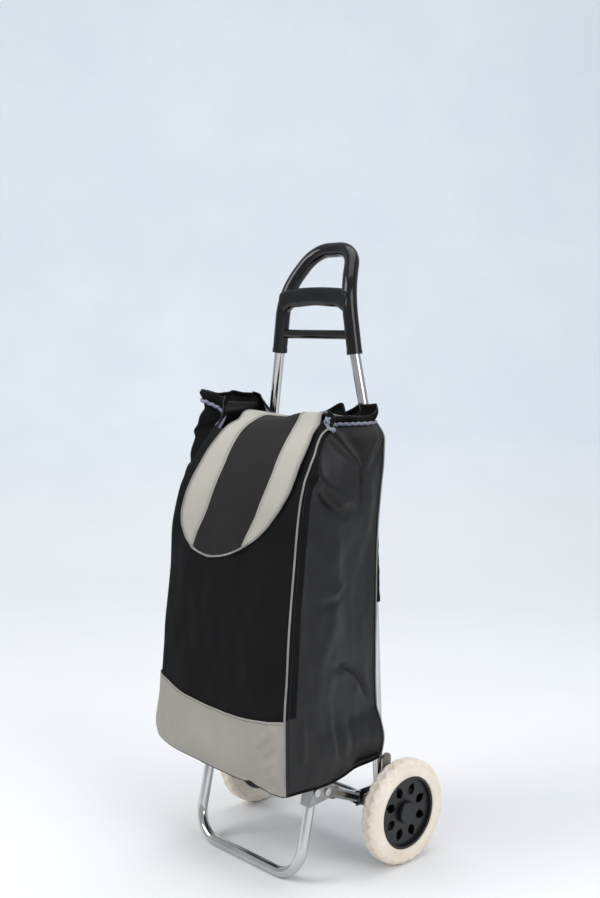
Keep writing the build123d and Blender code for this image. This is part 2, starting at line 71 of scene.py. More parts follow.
JOIN = 2e-5                  # points nearer than this, in metres, become one
UP = np.array([0.0, 0.0, 1.0])
SIDES = ((1, "right"), (-1, "left"))
a_lo, a_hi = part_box("axle")
AXLE_Y = (a_lo[1] + a_hi[1]) / 2
AXLE_Z = (a_lo[2] + a_hi[2]) / 2
scene = bpy.context.scene
col = scene.collection


# ------------------------------------------------------------------ helpers
def world(p):
    """Millimetres from the axle's line and the floor to metres in the frame."""
    p = np.asarray(p, float) * MM
    p[..., 1] += AXLE_Y
    return p


def smooth(x, a=0.0, b=1.0):
    """0 up to a, 1 from b on, with a soft step between them."""
    t = np.clip((np.asarray(x, float) - a) / (b - a), 0, 1)
    return t * t * (3 - 2 * t)


def spline(xs, ys):
    """A curve through the points that never overshoots them; xs go upward."""
    xs, ys = np.asarray(xs, float), np.asarray(ys, float)
    d = np.diff(ys) / np.diff(xs)
    m = np.zeros(len(xs))
    m[0], m[-1] = d[0], d[-1]
    for i in range(1, len(xs) - 1):
        m[i] = 0 if d[i - 1] * d[i] <= 0 else 2 * d[i - 1] * d[i] / (d[i - 1] + d[i])

    def f(x):
        x = np.clip(np.asarray(x, float), xs[0], xs[-1])
        i = np.clip(np.searchsorted(xs, x) - 1, 0, len(xs) - 2)
        h = xs[i + 1] - xs[i]
        t = (x - xs[i]) / h
        return ((2 * t**3 - 3 * t**2 + 1) * ys[i] + (t**3 - 2 * t**2 + t) * h * m[i]
                + (-2 * t**3 + 3 * t**2) * ys[i + 1] + (t**3 - t**2) * h * m[i + 1])
    return f


def noise_at(P, size, seed=0.0):
    """Smooth noise at each point, with bumps about size across."""
    flat = P.reshape(-1, 3)
    out = np.array([noise.noise(Vector((p[0] / size + seed, p[1] / size, p[2] / size)))
                    for p in flat])
    return out.reshape(P.shape[:-1])


def rework(me, merge=False, cap=False, face_out=False):
    """Join doubled points, close open ends and turn the faces outward."""
    bm = bmesh.new()
    bm.from_mesh(me)
    if merge:
        bmesh.ops.remove_doubles(bm, verts=bm.verts, dist=JOIN)
    if cap:
        bmesh.ops.holes_fill(bm, edges=[e for e in bm.edges if e.is_boundary], sides=0)
    if face_out:
        bmesh.ops.recalc_face_normals(bm, faces=bm.faces)
    bm.to_mesh(me)
    bm.free()


def grid_piece(name, P, mats, uv=None, index=None, loop_u=False, thick=0.0, side=-1.0,
               merge=False, attrs=None):
    """A sheet from an array of points, rows by columns, in millimetres."""
    nv, nu = P.shape[:2]
    verts = world(P.reshape(-1, 3).copy())
    nu_f = nu if loop_u else nu - 1
    r, c = np.meshgrid(np.arange(nv - 1), np.arange(nu_f), indexing="ij")
    c2 = (c + 1) % nu
    faces = np.stack([r * nu + c, r * nu + c2, (r + 1) * nu + c2, (r + 1) * nu + c], -1)
    faces = faces.reshape(-1, 4)
    me = bpy.data.meshes.new(name)
    me.from_pydata(verts.tolist(), [], faces.tolist())
    if uv is not None:
        layer = me.uv_layers.new(name="UVMap")
        cols_for = np.stack([c, c + 1, c + 1, c], -1).reshape(-1, 4)
        rows_for = np.stack([r, r, r + 1, r + 1], -1).reshape(-1, 4)
        if uv.shape[1] == nu:
            cols_for = cols_for % nu
        data = uv[rows_for, cols_for].reshape(-1, 2)
        layer.data.foreach_set("uv", data.astype(np.float32).ravel())
    if index is not None:
        me.polygons.foreach_set("material_index", index[:nv - 1, :nu_f].ravel().astype(np.int32))
    for key, val in (attrs or {}).items():
        at = me.attributes.new(key, "FLOAT", "POINT")
        at.data.foreach_set("value", np.asarray(val, np.float32).ravel())
    for m in mats:
        me.materials.append(m)
    me.polygons.foreach_set("use_smooth", [True] * len(me.polygons))
    me.update()
    if merge:
        rework(me, merge=True)
    o = bpy.data.objects.new(name, me)
    col.objects.link(o)
    if thick:
        s = o.modifiers.new("Cloth_thickness", "SOLIDIFY")
        s.thickness = thick * MM
        s.offset = side
        s.use_rim = True
    return o


def lengths(pts, closed=False):
    """Distance along a route at each point, and at its start again if it is closed."""
    if closed:
        pts = np.concatenate([pts, pts[:1]])
    return np.concatenate([[0], np.cumsum(np.linalg.norm(np.diff(pts, axis=0), axis=1))])


def frames_along(pts, loop):
    """Two directions across a route at each of its points, without twist."""
    t = (np.roll(pts, -1, 0) - np.roll(pts, 1, 0)) if loop else np.gradient(pts, axis=0)
    t /= np.linalg.norm(t, axis=1)[:, None] + 1e-12
    ref = UP if abs(t[0][2]) < 0.8 else np.array([1.0, 0.0, 0.0])
    u = np.zeros_like(pts)
    for i in range(len(pts)):
        ref = ref - t[i] * (ref @ t[i])
        ref /= np.linalg.norm(ref)
        u[i] = ref
    return u, np.cross(t, u)


def tube_piece(name, pts, r, mat, shape, loop=False, n=12):
    """A round cord along points in millimetres; shape gives its relief round the section."""
    u, v = frames_along(pts, loop)
    a = np.linspace(0, 2 * math.pi, n, endpoint=False)
    scale = r * shape(np.arange(len(pts))[:, None], a)
    ring = (pts[:, None] + (np.cos(a)[None, :, None] * u[:, None] + np.sin(a)[None, :, None]
                            * v[:, None]) * scale[..., None])
    if loop:
        ring = np.concatenate([ring, ring[:1]])
    along = lengths(pts, loop)
    uv = np.stack(np.broadcast_arrays((a * r)[None, :], along[:len(ring), None]), -1)
    uv = np.concatenate([uv, uv[:, :1] + np.array([2 * math.pi * r, 0])], 1)
    o = grid_piece(name, ring, [mat], uv=uv, loop_u=True, merge=loop)
    rework(o.data, cap=not loop, face_out=True)
    return o


def line_mesh(name, lines, loop=False):
    """Loose edges along routes in millimetres, for a node tree to follow."""
    verts, edges = [], []
    for pts in lines:
        k = len(verts)
        verts += world(np.array(pts, float)).tolist()
        edges += [(k + i, k + i + 1) for i in range(len(pts) - 1)]
        if loop:
            edges.append((len(verts) - 1, k))
    me = bpy.data.meshes.new(name)
    me.from_pydata(verts, edges, [])
    o = bpy.data.objects.new(name, me)
    col.objects.link(o)
    return o


def run_tree(o, tree, values):
    """Run a node tree on an object and keep what it makes as a plain mesh."""
    mod = o.modifiers.new(tree.name, "NODES")
    mod.node_group = tree
    for item in tree.interface.items_tree:
        if item.in_out == "INPUT" and item.name in values:
            mod[item.identifier] = values[item.name]
    graph = bpy.context.evaluated_depsgraph_get()
    made = bpy.data.meshes.new_from_object(o.evaluated_get(graph))
    o.modifiers.remove(mod)
    o.data = made
    return o


def tree_start(name, inputs):
    tree = bpy.data.node_groups.new(name, "GeometryNodeTree")
    tree.interface.new_socket("Geometry", in_out="INPUT", socket_type="NodeSocketGeometry")
    for label, kind in inputs:
        tree.interface.new_socket(label, in_out="INPUT", socket_type=kind)
    tree.interface.new_socket("Geometry", in_out="OUTPUT", socket_type="NodeSocketGeometry")
    return tree, tree.nodes.new("NodeGroupInput"), tree.nodes.new("NodeGroupOutput")


def piping_tree():
    """A round cord along a seam."""
    tree, inp, out = tree_start("piping_along_seam", [("Radius", "NodeSocketFloat"),
                                                      ("Sides", "NodeSocketInt"),
                                                      ("Material", "NodeSocketMaterial")])
    new, link = tree.nodes.new, tree.links.new
    to_curve = new("GeometryNodeMeshToCurve")
    circle = new("GeometryNodeCurvePrimitiveCircle")
    sweep = new("GeometryNodeCurveToMesh")
    sweep.inputs["Fill Caps"].default_value = True
    shade = new("GeometryNodeSetShadeSmooth")
    mat = new("GeometryNodeSetMaterial")
    link(inp.outputs["Geometry"], to_curve.inputs[0])
    link(inp.outputs["Radius"], circle.inputs["Radius"])
    link(inp.outputs["Sides"], circle.inputs["Resolution"])
    link(to_curve.outputs[0], sweep.inputs["Curve"])
    link(circle.outputs[0], sweep.inputs["Profile Curve"])
    link(sweep.outputs[0], shade.inputs[0])
    link(shade.outputs[0], mat.inputs["Geometry"])
    link(inp.outputs["Material"], mat.inputs["Material"])
    link(mat.outputs[0], out.inputs[0])
    return tree


def stitch_tree():
    """A row of short threads along a seam."""
    tree, inp, out = tree_start("stitches_along_seam", [
        ("Pitch", "NodeSocketFloat"), ("Length", "NodeSocketFloat"),
        ("Radius", "NodeSocketFloat"), ("Material", "NodeSocketMaterial")])
    new, link = tree.nodes.new, tree.links.new
    to_curve = new("GeometryNodeMeshToCurve")
    points = new("GeometryNodeCurveToPoints")
    points.mode = "LENGTH"
    thread = new("GeometryNodeMeshCylinder")
    thread.inputs["Vertices"].default_value = 6
    place = new("GeometryNodeInstanceOnPoints")
    real = new("GeometryNodeRealizeInstances")
    shade = new("GeometryNodeSetShadeSmooth")
    mat = new("GeometryNodeSetMaterial")
    align = new("FunctionNodeAlignEulerToVector")
    align.axis = "Z"
    link(inp.outputs["Geometry"], to_curve.inputs[0])
    link(to_curve.outputs[0], points.inputs["Curve"])
    link(inp.outputs["Pitch"], points.inputs["Length"])
    link(inp.outputs["Length"], thread.inputs["Depth"])
    link(inp.outputs["Radius"], thread.inputs["Radius"])
    link(points.outputs["Tangent"], align.inputs["Vector"])
    link(points.outputs["Points"], place.inputs["Points"])
    link(thread.outputs["Mesh"], place.inputs["Instance"])
    link(align.outputs[0], place.inputs["Rotation"])
    link(place.outputs[0], real.inputs[0])
    link(real.outputs[0], shade.inputs[0])
    link(shade.outputs[0], mat.inputs["Geometry"])
    link(inp.outputs["Material"], mat.inputs["Material"])
    link(mat.outputs[0], out.inputs[0])
    return tree


PIPING_TREE, STITCH_TREE = piping_tree(), stitch_tree()


PIPING_SIDES = 12
STITCH = {"Pitch": 3.4 * MM, "Length": 2.4 * MM, "Radius": 0.32 * MM}


def path_piece(name, pts, r, mat, loop=False):
    """Piping of radius r along a seam."""
    o = line_mesh(name, [pts], loop)
    return run_tree(o, PIPING_TREE, {"Radius": r * MM, "Sides": PIPING_SIDES, "Material": mat})


def stitch_piece(name, lines, mat):
    """Rows of stitches along seams."""
    return run_tree(line_mesh(name, lines), STITCH_TREE, {**STITCH, "Material": mat})


def resample(pts, step):
    """The same route with points evenly spaced, about step apart."""
    pts = np.asarray(pts, float)
    d = lengths(pts)
    n = max(2, int(round(d[-1] / step)) + 1)
    s = np.linspace(0, d[-1], n)
    return np.stack([np.interp(s, d, pts[:, k]) for k in range(3)], 1)


# ------------------------------------------------------------------ materials
class Nodes:
    """Short forms for building a material's node tree."""

    def __init__(self, name):
        self.mat = bpy.data.materials.new(name)
        self.mat.use_nodes = True
        self.t = self.mat.node_tree
        self.bsdf = self.t.nodes["Principled BSDF"]

    def new(self, kind, **kw):
        n = self.t.nodes.new(kind)
        for k, v in kw.items():
            setattr(n, k, v)
        return n

    def put(self, socket, value):
        if isinstance(value, bpy.types.NodeSocket):
            self.t.links.new(value, socket)
        else:
            socket.default_value = value

    def math(self, op, a, b=None, c=None, clamp=False):
        n = self.new("ShaderNodeMath", operation=op, use_clamp=clamp)
        for i, v in enumerate((a, b, c)):
            if v is not None:
                self.put(n.inputs[i], v)
        return n.outputs[0]

    def mix(self, fac, a, b):
        n = self.new("ShaderNodeMix", data_type="RGBA")
        self.put(n.inputs[0], fac)
        self.put(n.inputs[6], a)
        self.put(n.inputs[7], b)
        return n.outputs[2]

    def ramp(self, fac, stops):
        n = self.new("ShaderNodeValToRGB")
        cr = n.color_ramp
        while len(cr.elements) < len(stops):
            cr.elements.new(0.5)
        for e, (p, c) in zip(cr.elements, stops):
            e.position, e.color = p, (*c, 1)
        self.put(n.inputs[0], fac)
        return n.outputs[0]

    def object_co(self):
        return self.new("ShaderNodeTexCoord").outputs["Object"]

    def uv(self):
        return self.new("ShaderNodeTexCoord").outputs["UV"]

    def noise(self, co, scale, detail=3.0, rough=0.5):
        n = self.new("ShaderNodeTexNoise")
        self.put(n.inputs["Vector"], co)
        n.inputs["Scale"].default_value = scale
        n.inputs["Detail"].default_value = detail
        n.inputs["Roughness"].default_value = rough
        return n.outputs["Fac"]

    def bump(self, height, strength, dist, base=None):
        n = self.new("ShaderNodeBump")
        n.inputs["Strength"].default_value = strength
        n.inputs["Distance"].default_value = dist
        self.put(n.inputs["Height"], height)
        if base is not None:
            self.put(n.inputs["Normal"], base)
        return n.outputs["Normal"]

    def set(self, **kw):
        for k, v in kw.items():
            self.put(self.bsdf.inputs[k.replace("_", " ")], v)
        return self.mat


def lin(*rgb):
    """Linear colour from the usual 0 to 255 values."""
    return tuple(((c / 255 + 0.055) / 1.055) ** 2.4 for c in rgb)


def fabric(name, rgb, pitch=0.55, rough=0.85, sheen=0.2, weave=0.35, slub=0.12, crease=0.3,
           spec=0.3):
    """Plain weave on the cloth's own UV in millimetres, with painted shade where threads pass
    under.
    """
    m = Nodes(name)
    uv = m.uv()
    sep = m.new("ShaderNodeSeparateXYZ")
    m.put(sep.inputs[0], uv)
    k = 2 * math.pi / (pitch * 2)
    sx = m.math("SINE", m.math("MULTIPLY", sep.outputs[0], k))
    sy = m.math("SINE", m.math("MULTIPLY", sep.outputs[1], k))
    over = m.math("MULTIPLY", sx, sy)
    ax, ay = m.math("ABSOLUTE", sx), m.math("ABSOLUTE", sy)
    warp = m.math("GREATER_THAN", over, 0.0)
    h = m.math("ADD", m.math("MULTIPLY", warp, ax),
               m.math("MULTIPLY", m.math("SUBTRACT", 1.0, warp), ay))
    co = m.object_co()
    broad = m.noise(co, 9.0, 4.0, 0.55)
    slubs = m.noise(uv, 0.9, 2.0, 0.6)
    crumple = m.noise(co, 26.0, 5.0, 0.6)
    base = tuple(rgb)
    dark = tuple(c * (1 - slub * 1.6) for c in base)
    light = tuple(min(1, c * (1 + slub * 1.5) + 0.002) for c in base)
    c1 = m.ramp(broad, [(0.25, dark), (0.75, light)])
    # painted shade: where the weave's threads pass under, the colour is mixed darker
    threads = m.mix(m.math("MULTIPLY", m.math("SUBTRACT", 1.0, h), 0.35), c1,
                    (*[c * 0.45 for c in base], 1))
    c2 = m.mix(m.math("MULTIPLY", slubs, slub), threads, (*light, 1))
    n1 = m.bump(crumple, crease, 0.0016)
    n2 = m.bump(h, weave, 0.00012, n1)
    r = m.math("MULTIPLY_ADD", broad, 0.16, rough - 0.08)
    return m.set(Base_Color=c2, Roughness=r, Normal=n2, Sheen_Weight=sheen,
                 Sheen_Roughness=0.45, Specular_IOR_Level=spec)


def tape(name, rgb):
    """Woven tape or thread, with its twist read from the place on the object."""
    m = Nodes(name)
    co = m.object_co()
    fine = m.noise(co, 1400.0, 2.0, 0.6)
    broad = m.noise(co, 40.0, 3.0, 0.5)
    dark, light = tuple(c * 0.72 for c in rgb), tuple(min(1, c * 1.18) for c in rgb)
    base = m.ramp(broad, [(0.3, dark), (0.75, light)])
    twist = m.mix(m.math("MULTIPLY", fine, 0.5), base, (*dark, 1))
    return m.set(Base_Color=twist, Roughness=m.math("MULTIPLY_ADD", broad, 0.2, 0.6),
                 Normal=m.bump(fine, 0.5, 0.0002), Sheen_Weight=0.08)


def chrome(name):
    """Bright plating with a little haze."""
    m = Nodes(name)
    co = m.object_co()
    fog = m.noise(co, 18.0, 5.0, 0.6)
    fine = m.noise(co, 900.0, 2.0, 0.5)
    rough = m.math("ADD", m.math("MULTIPLY", fog, 0.09), m.math("MULTIPLY", fine, 0.05))
    colr = m.ramp(fog, [(0.3, (0.50, 0.50, 0.495)), (0.7, (0.62, 0.62, 0.615))])
    nrm = m.bump(fine, 0.04, 0.0002)
    return m.set(Base_Color=colr, Metallic=1.0, Roughness=m.math("ADD", rough, 0.06), Normal=nrm)


def zinc(name):
    """Dull plating with patches of unlike roughness."""
    m = Nodes(name)
    co = m.object_co()
    patch = m.noise(co, 120.0, 4.0, 0.6)
    fine = m.noise(co, 1200.0, 2.0, 0.5)
    colr = m.ramp(patch, [(0.3, (0.25, 0.25, 0.245)), (0.7, (0.42, 0.42, 0.41))])
    return m.set(Base_Color=colr, Metallic=1.0,
                 Roughness=m.math("MULTIPLY_ADD", patch, 0.22, 0.20),
                 Normal=m.bump(fine, 0.12, 0.0002))


def plastic(name, rgb, rough, grain, scale=700.0, spec=0.5):
    """Moulded plastic with a fine grain and slight wear."""
    m = Nodes(name)
    co = m.object_co()
    g = m.noise(co, scale, 3.0, 0.6)
    wear = m.noise(co, 35.0, 5.0, 0.65)
    colr = m.ramp(wear, [(0.3, rgb), (0.8, tuple(c * 1.5 + 0.003 for c in rgb))])
    return m.set(Base_Color=colr, Roughness=m.math("MULTIPLY_ADD", wear, 0.12, rough - 0.05),
                 Normal=m.bump(g, grain, 0.0003), Specular_IOR_Level=spec)


def foam(name):
    """Foam of the tyres, darker where the relief is low: painted shade in the tread's grooves."""
    m = Nodes(name)
    co = m.object_co()
    broad = m.noise(co, 22.0, 5.0, 0.6)
    fine = m.noise(co, 1500.0, 3.0, 0.6)
    at = m.new("ShaderNodeAttribute", attribute_name="relief")
    base = m.ramp(broad, [(0.3, lin(222, 206, 188)), (0.72, lin(240, 230, 217))])
    # painted shade: low relief is mixed towards a darker brown
    shade = m.mix(m.math("MULTIPLY", m.math("SUBTRACT", 1.0, at.outputs["Fac"]), 0.14), base,
                  (*lin(190, 168, 148), 1))
    return m.set(Base_Color=shade, Roughness=m.math("MULTIPLY_ADD", broad, 0.2, 0.55),
                 Normal=m.bump(fine, 0.15, 0.0003), Subsurface_Weight=0.06,
                 Specular_IOR_Level=0.35)


BLACK = fabric("Black_polyester", (0.0045, 0.0045, 0.005), rough=0.80, sheen=0.012, spec=0.1)
FLAPDARK = fabric("Flap_polyester", (0.015, 0.0138, 0.0145), rough=0.78, sheen=0.03, spec=0.16)
NYLON = fabric("Side_nylon", (0.0065, 0.0062, 0.0063), pitch=0.4, rough=0.44, sheen=0.012,
               weave=0.2, crease=0.4, spec=0.3)
GREY = fabric("Grey_polyester", lin(157, 153, 144), rough=0.86, sheen=0.08, slub=0.06, spec=0.2)
STRIPE = fabric("Light_stripe", lin(176, 173, 163), rough=0.86, sheen=0.08, slub=0.06, spec=0.2)
LINING = fabric("Lining", (0.008, 0.0075, 0.008), rough=0.7, sheen=0.03, crease=0.5, spec=0.2)
CORD = fabric("Braided_cord", lin(128, 131, 146), pitch=0.9, rough=0.8, sheen=0.1, slub=0.2,
              weave=0.8)
PIPING = tape("Piping_tape", lin(138, 136, 131))
THREAD = tape("Grey_thread", lin(150, 148, 140))
THREAD_DARK = tape("Black_thread", (0.016, 0.016, 0.017))
CHROME = chrome("Chromed_tube")
ZINC = zinc("Zinc_plate")
GLOSS = plastic("Gloss_moulding", (0.002, 0.002, 0.0022), 0.11, 0.015, scale=300, spec=0.38)
SATIN = plastic("Satin_moulding", (0.006, 0.006, 0.0065), 0.36, 0.06, spec=0.4)
EVA = foam("Foam_tyre")

record_slot = {s["node"]: s["material_slot"] for s in frame["record"]["subparts"]}
by_slot = {"chrome": CHROME, "plated_steel": ZINC, "gloss_black_plastic": GLOSS,
           "black_plastic": SATIN, "eva_tyre": EVA, "black_fabric": BLACK, "nylon": NYLON,
           "grey_fabric": GREY, "piping_trim": PIPING, "cord": CORD}
for node, o in frame["nodes"].items():
    o.data.materials.clear()
    o.data.materials.append(by_slot[record_slot[node]])

# ------------------------------------------------------------------ bag
# heights and places in millimetres, y from the axle's line; s is 1 on the right, -1 on the left
NECK = 668.0             # height of the mouth at the corners
MOUTH_FRONT = 650.0      # height of the mouth under the flap
KNEE, AXLE = 652.0, 80.0             # heights between which the rear tubes are straight
LEAN = -14.0 / (KNEE - AXLE)         # of the rear tubes, forward for each mm of height
TUBE_X, TUBE_IN = 117.0, 9.3 / (KNEE - AXLE)
BACK_OFF = -10.8                     # from the tubes' middle line to the bag's back
REAR_LEAN = 1.05                     # how the rear seams spread as the back leans forward
PLEAT_Y = -68.0                      # where the drawcord pulls a pleat into each side
PLEAT_RIGHT, PLEAT_LEFT = 42.0, 9.0  # its depth
FLARE = 40.0                         # how far the left corner is pulled out of line

half_w = spline([152, 268, 380, 475, 560, 612, 650, 680],
                [149, 146, 143.5, 141, 138, 133, 126.5, 119])
seam_y = spline([152, 268, 320, 380, 475, 560, 612, 650, 680],
                [-222, -219, -213.5, -208, -195, -181, -159.5, -133, -101])
crown = spline([152, 268, 380, 475, 560, 612, 650, 680], [5, 9, 12, 13, 12, 9, 5, 2])
rear_side = spline([150, 172, 192, 216, 240, 300, 400, 470, 520, 568, 615, 645, 676],
                   [138, 148, 151, 145, 135, 133, 134, 135, 138, 143, 149, 150, 125])
left_back = spline([150, 560, 606, 633, 652, 672, 700], [13, 14, 21, 25, 20, 12, 8])
flare_at = spline([530, 582, 612, 650, 680, 700], [0, 0.22, 0.51, 0.735, 0.95, 0.95])


def back_y(z):
    """The bag's back, just in front of the rear tubes."""
    return LEAN * (np.minimum(z, KNEE) - AXLE) + BACK_OFF


def rear_x(z):
    """Half the bag's width at its rear seams."""
    return rear_side(z) - REAR_LEAN * (back_y(z) + 25)


def left_more(z):
    """How much the left side is fuller than the right."""
    return (5.0 * (1 - smooth(z, 560, 668)) + 8.0 * np.exp(-((z - 205) / 34.0) ** 2)
            + 9.0 * np.exp(-((z - 505) / 52.0) ** 2))


def ridge(y, z, pts, w, h):
    """A fold that runs through points in the panel's own plane."""
    pts = resample(np.array([(a, b, 0) for a, b in pts], float), 3)[:, :2]
    d2 = np.full(np.broadcast(y, z).shape, 1e9)
    at = np.zeros(d2.shape)
    for i, (py, pz) in enumerate(pts):
        q = (y - py) ** 2 + (z - pz) ** 2
        near = q < d2
        d2 = np.where(near, q, d2)
        at = np.where(near, i / (len(pts) - 1), at)
    fade = np.minimum(smooth(at, 0, 0.25), 1 - smooth(at, 0.75, 1))
    return h * np.exp(-d2 / (2 * w * w)) * (0.15 + 0.85 * fade)


# folds of a side: route (y, z), width, height; those below zero are creases
SIDE_FOLDS = [
    ([(-68, 614), (-68, 580), (-67, 545)], 2.4, -7.0),
    ([(-157, 606), (-130, 582), (-106, 561), (-84, 559)], 5.0, 7.5),
    ([(-160, 592), (-132, 567), (-104, 545), (-80, 545)], 6.5, -6.0),
    ([(-146, 556), (-151, 612), (-138, 648)], 5.5, 4.5),
    ([(-131, 640), (-136, 600), (-122, 578)], 5.5, -3.5),
    ([(-52, 600), (-46, 560), (-48, 500)], 7.0, 2.6),
    ([(-143, 428), (-118, 431), (-95, 441)], 4.5, 4.2),
    ([(-150, 419), (-118, 418), (-92, 428)], 5.5, -3.8),
    ([(-122, 323), (-96, 318), (-70, 303), (-48, 278), (-36, 252)], 3.2, -7.0),
    ([(-124, 311), (-94, 306), (-69, 290), (-52, 266)], 5.5, 4.6),
    ([(-118, 268), (-116, 215), (-112, 176)], 5.0, -3.0),
    ([(-130, 262), (-129, 215), (-124, 180)], 6.0, 2.2),
    ([(-188, 262), (-186, 230), (-190, 190)], 5.0, 3.4),
    ([(-80, 250), (-84, 200), (-88, 168)], 6.0, -3.0),
    ([(-162, 520), (-170, 420), (-172, 330)], 8.0, -2.6),
    ([(-112, 520), (-118, 430), (-122, 350)], 9.0, 2.4),
    ([(-88, 520), (-92, 440), (-90, 350)], 8.0, -2.4),
]


def side_panel(s, rows, cols):
    """One side of the bag: front seam at the first column, rear seam at the last."""
    v = np.linspace(0, 1, rows)[:, None]
    t = np.linspace(0, 1, cols)[None, :]
    low = 158 - 5 * np.sin(math.pi * smooth(t)) - 3 * smooth(t, 0.6, 1) + 3 * smooth(t, 0.9, 1)
    top = 661 + 10 * t + 13 * np.exp(-(t / 0.05) ** 2)
    if s < 0:
        low = low + 36 * (1 - smooth(t, 0, 0.35))
        top = 669 + 24 * smooth(t, 0, 0.12) - 6 * smooth(t, 0.2, 1)
    z = low + v * (top - low)
    fy, by = seam_y(z), back_y(z)
    hw, rx = half_w(z), rear_x(z)
    if s < 0:
        fy = fy + left_back(z)
        hw = hw + left_more(z)
    y = fy + (by - fy) * t
    x = hw + (rx - hw) * smooth(t, 0.1, 1)
    x = x + 5.0 * np.sin(math.pi * t) * smooth(z, 160, 260) * (1 - smooth(z, 590, 660))
    x = x + 4.0 * np.sin(math.pi * np.clip(t * 1.3, 0, 1)) * (1 - smooth(z, 170, 250))
    # the pleat that the drawcord pulls into the top of the side
    mid = PLEAT_Y - 5 * smooth(z, 606, 665)
    wide = 3 + 36 * smooth(z, 600, 668) ** 0.8
    cut = np.clip(1 - np.abs(y - mid) / wide, 0, 1)
    x = x - (PLEAT_RIGHT if s > 0 else PLEAT_LEFT) * smooth(z, 600, 672) * smooth(cut)
    x = x + 7 * smooth(z, 596, 628) * (1 - smooth(z, 664, 684)) * np.exp(
        -((np.abs(y - mid) - wide * 1.05) / 8.0) ** 2)
    for route, w, h in SIDE_FOLDS:
        x = x + ridge(y, z, route, w, h)
    P = np.stack([x, y, z + 0 * x], -1)
    soft = noise_at(P * [1, 1, 0.45], 55, 3.1 * s) * 3.4 + noise_at(P * [1, 1, 0.6], 20, 7.7) * 1.3
    calm = 1 - 0.8 * smooth(z, 540, 590) * (s < 0)
    P[..., 0] += soft * calm * smooth(t, 0, 0.12) * (1 - smooth(t, 0.86, 1))
    # pulled out of line at the mouth
    if s < 0:
        flare = flare_at(z) * smooth(z, 530, 560) * smooth(t, 0.0, 0.12) * (
            1 - smooth(t, 0.16, 0.9))
        P[..., 0] += FLARE * flare
        P[..., 1] -= FLARE * flare
    P[..., 0] *= s
    return P


# folds of the front: route (x, z), width, height
FRONT_FOLDS = [
    ([(-120, 300), (-95, 420), (-92, 520)], 14, 2.2),
    ([(70, 300), (84, 400), (92, 470)], 12, 2.2),
    ([(-30, 300), (-22, 400), (-26, 470)], 16, 1.6),
    ([(100, 262), (70, 330), (48, 390)], 9, 1.6),
    ([(124, 246), (104, 228), (94, 216)], 4.5, 4.2),
    ([(137, 226), (120, 208), (108, 198)], 4.0, -3.0),
    ([(136, 212), (120, 194), (106, 186)], 4.5, 4.0),
    ([(138, 190), (126, 180), (110, 175)], 4.5, 3.0),
    ([(112, 262), (124, 248), (138, 240)], 5, 2.2),
    ([(-128, 236), (-112, 216), (-104, 196)], 7, 2.4),
    ([(-60, 236), (-54, 205), (-40, 180)], 9, 1.8),
    ([(20, 232), (28, 205), (24, 176)], 9, 1.6),
]
CORNER = 0.86        # share of the half width where the left corner begins to turn


def front_panel(rows, cols):
    """The bag's front, from the left seam to the right one."""
    v = np.linspace(0, 1, rows)[:, None]
    w = np.linspace(-1, 1, cols)[None, :]
    w = np.sign(w) * (1 - (1 - np.abs(w)) ** 1.25)
    round_left = np.clip((-w - 0.76) / 0.24, 0, 1)
    low = 160 - 3 * np.sin(w * 2.1 + 0.4) + 36 * (1 - np.sqrt(1 - 0.99 * round_left ** 2)) / 0.9
    low = low - 3 * np.exp(-((w - 0.80) / 0.12) ** 2) + 4 * np.exp(-((w - 0.50) / 0.06) ** 2)
    low = low + 3 * smooth(w, 0.93, 1.0)
    top = MOUTH_FRONT + (NECK + 4 - MOUTH_FRONT) * smooth(np.abs(w) * 122, 98, 118)
    z = low + v * (top - low)
    hw = half_w(z)
    more = left_more(z) * smooth(-w, 0.5, 1)
    x = w * hw - more
    y = seam_y(z) - crown(z) * (1 - np.abs(w) ** 2.4)
    # the left seam lies round the corner, behind the panel's edge
    q = np.clip((-w - CORNER) / (1 - CORNER), 0, 1)
    turn = 1 - np.cos(q * math.pi / 2)
    y = y + left_back(z) * turn
    x = x - (np.sin(q * math.pi / 2) - q) * (1 - CORNER) * hw * (1 - smooth(z, 585, 640))
    y = y + (1 - smooth(z, 160, 176)) * 5.0 - 3.0 * np.exp(-((z - 190) / 20.0) ** 2)
    P = np.stack([x, y, z + 0 * x], -1)
    edge = smooth(1 - np.abs(w), 0, 0.15)
    P[..., 1] += edge * (noise_at(P * [1, 1, 0.5], 62, 1.3) * 3.6
                         + noise_at(P * [1, 1, 0.7], 24, 4.1) * 1.2)
    for route, width, h in FRONT_FOLDS:
        P[..., 1] -= ridge(P[..., 0], P[..., 2], route, width, h) * edge
    return P


def band_top(x):
    """Height of the grey band's upper edge, which dips in the middle."""
    return 269 - 17 * (1 - (x / BAND_HALF) ** 2) - 5 * x / BAND_HALF


BAND_HALF = 146.0
ROWS, SIDE_COLS, FRONT_COLS, BACK_COLS = 180, 84, 120, 40
BLEND_COLS = 14    # columns over which the front is brought to the sides' seams
SHADE_STRIP = 9          # columns of each side beside the front seam, in the front's darker cloth as painted shade


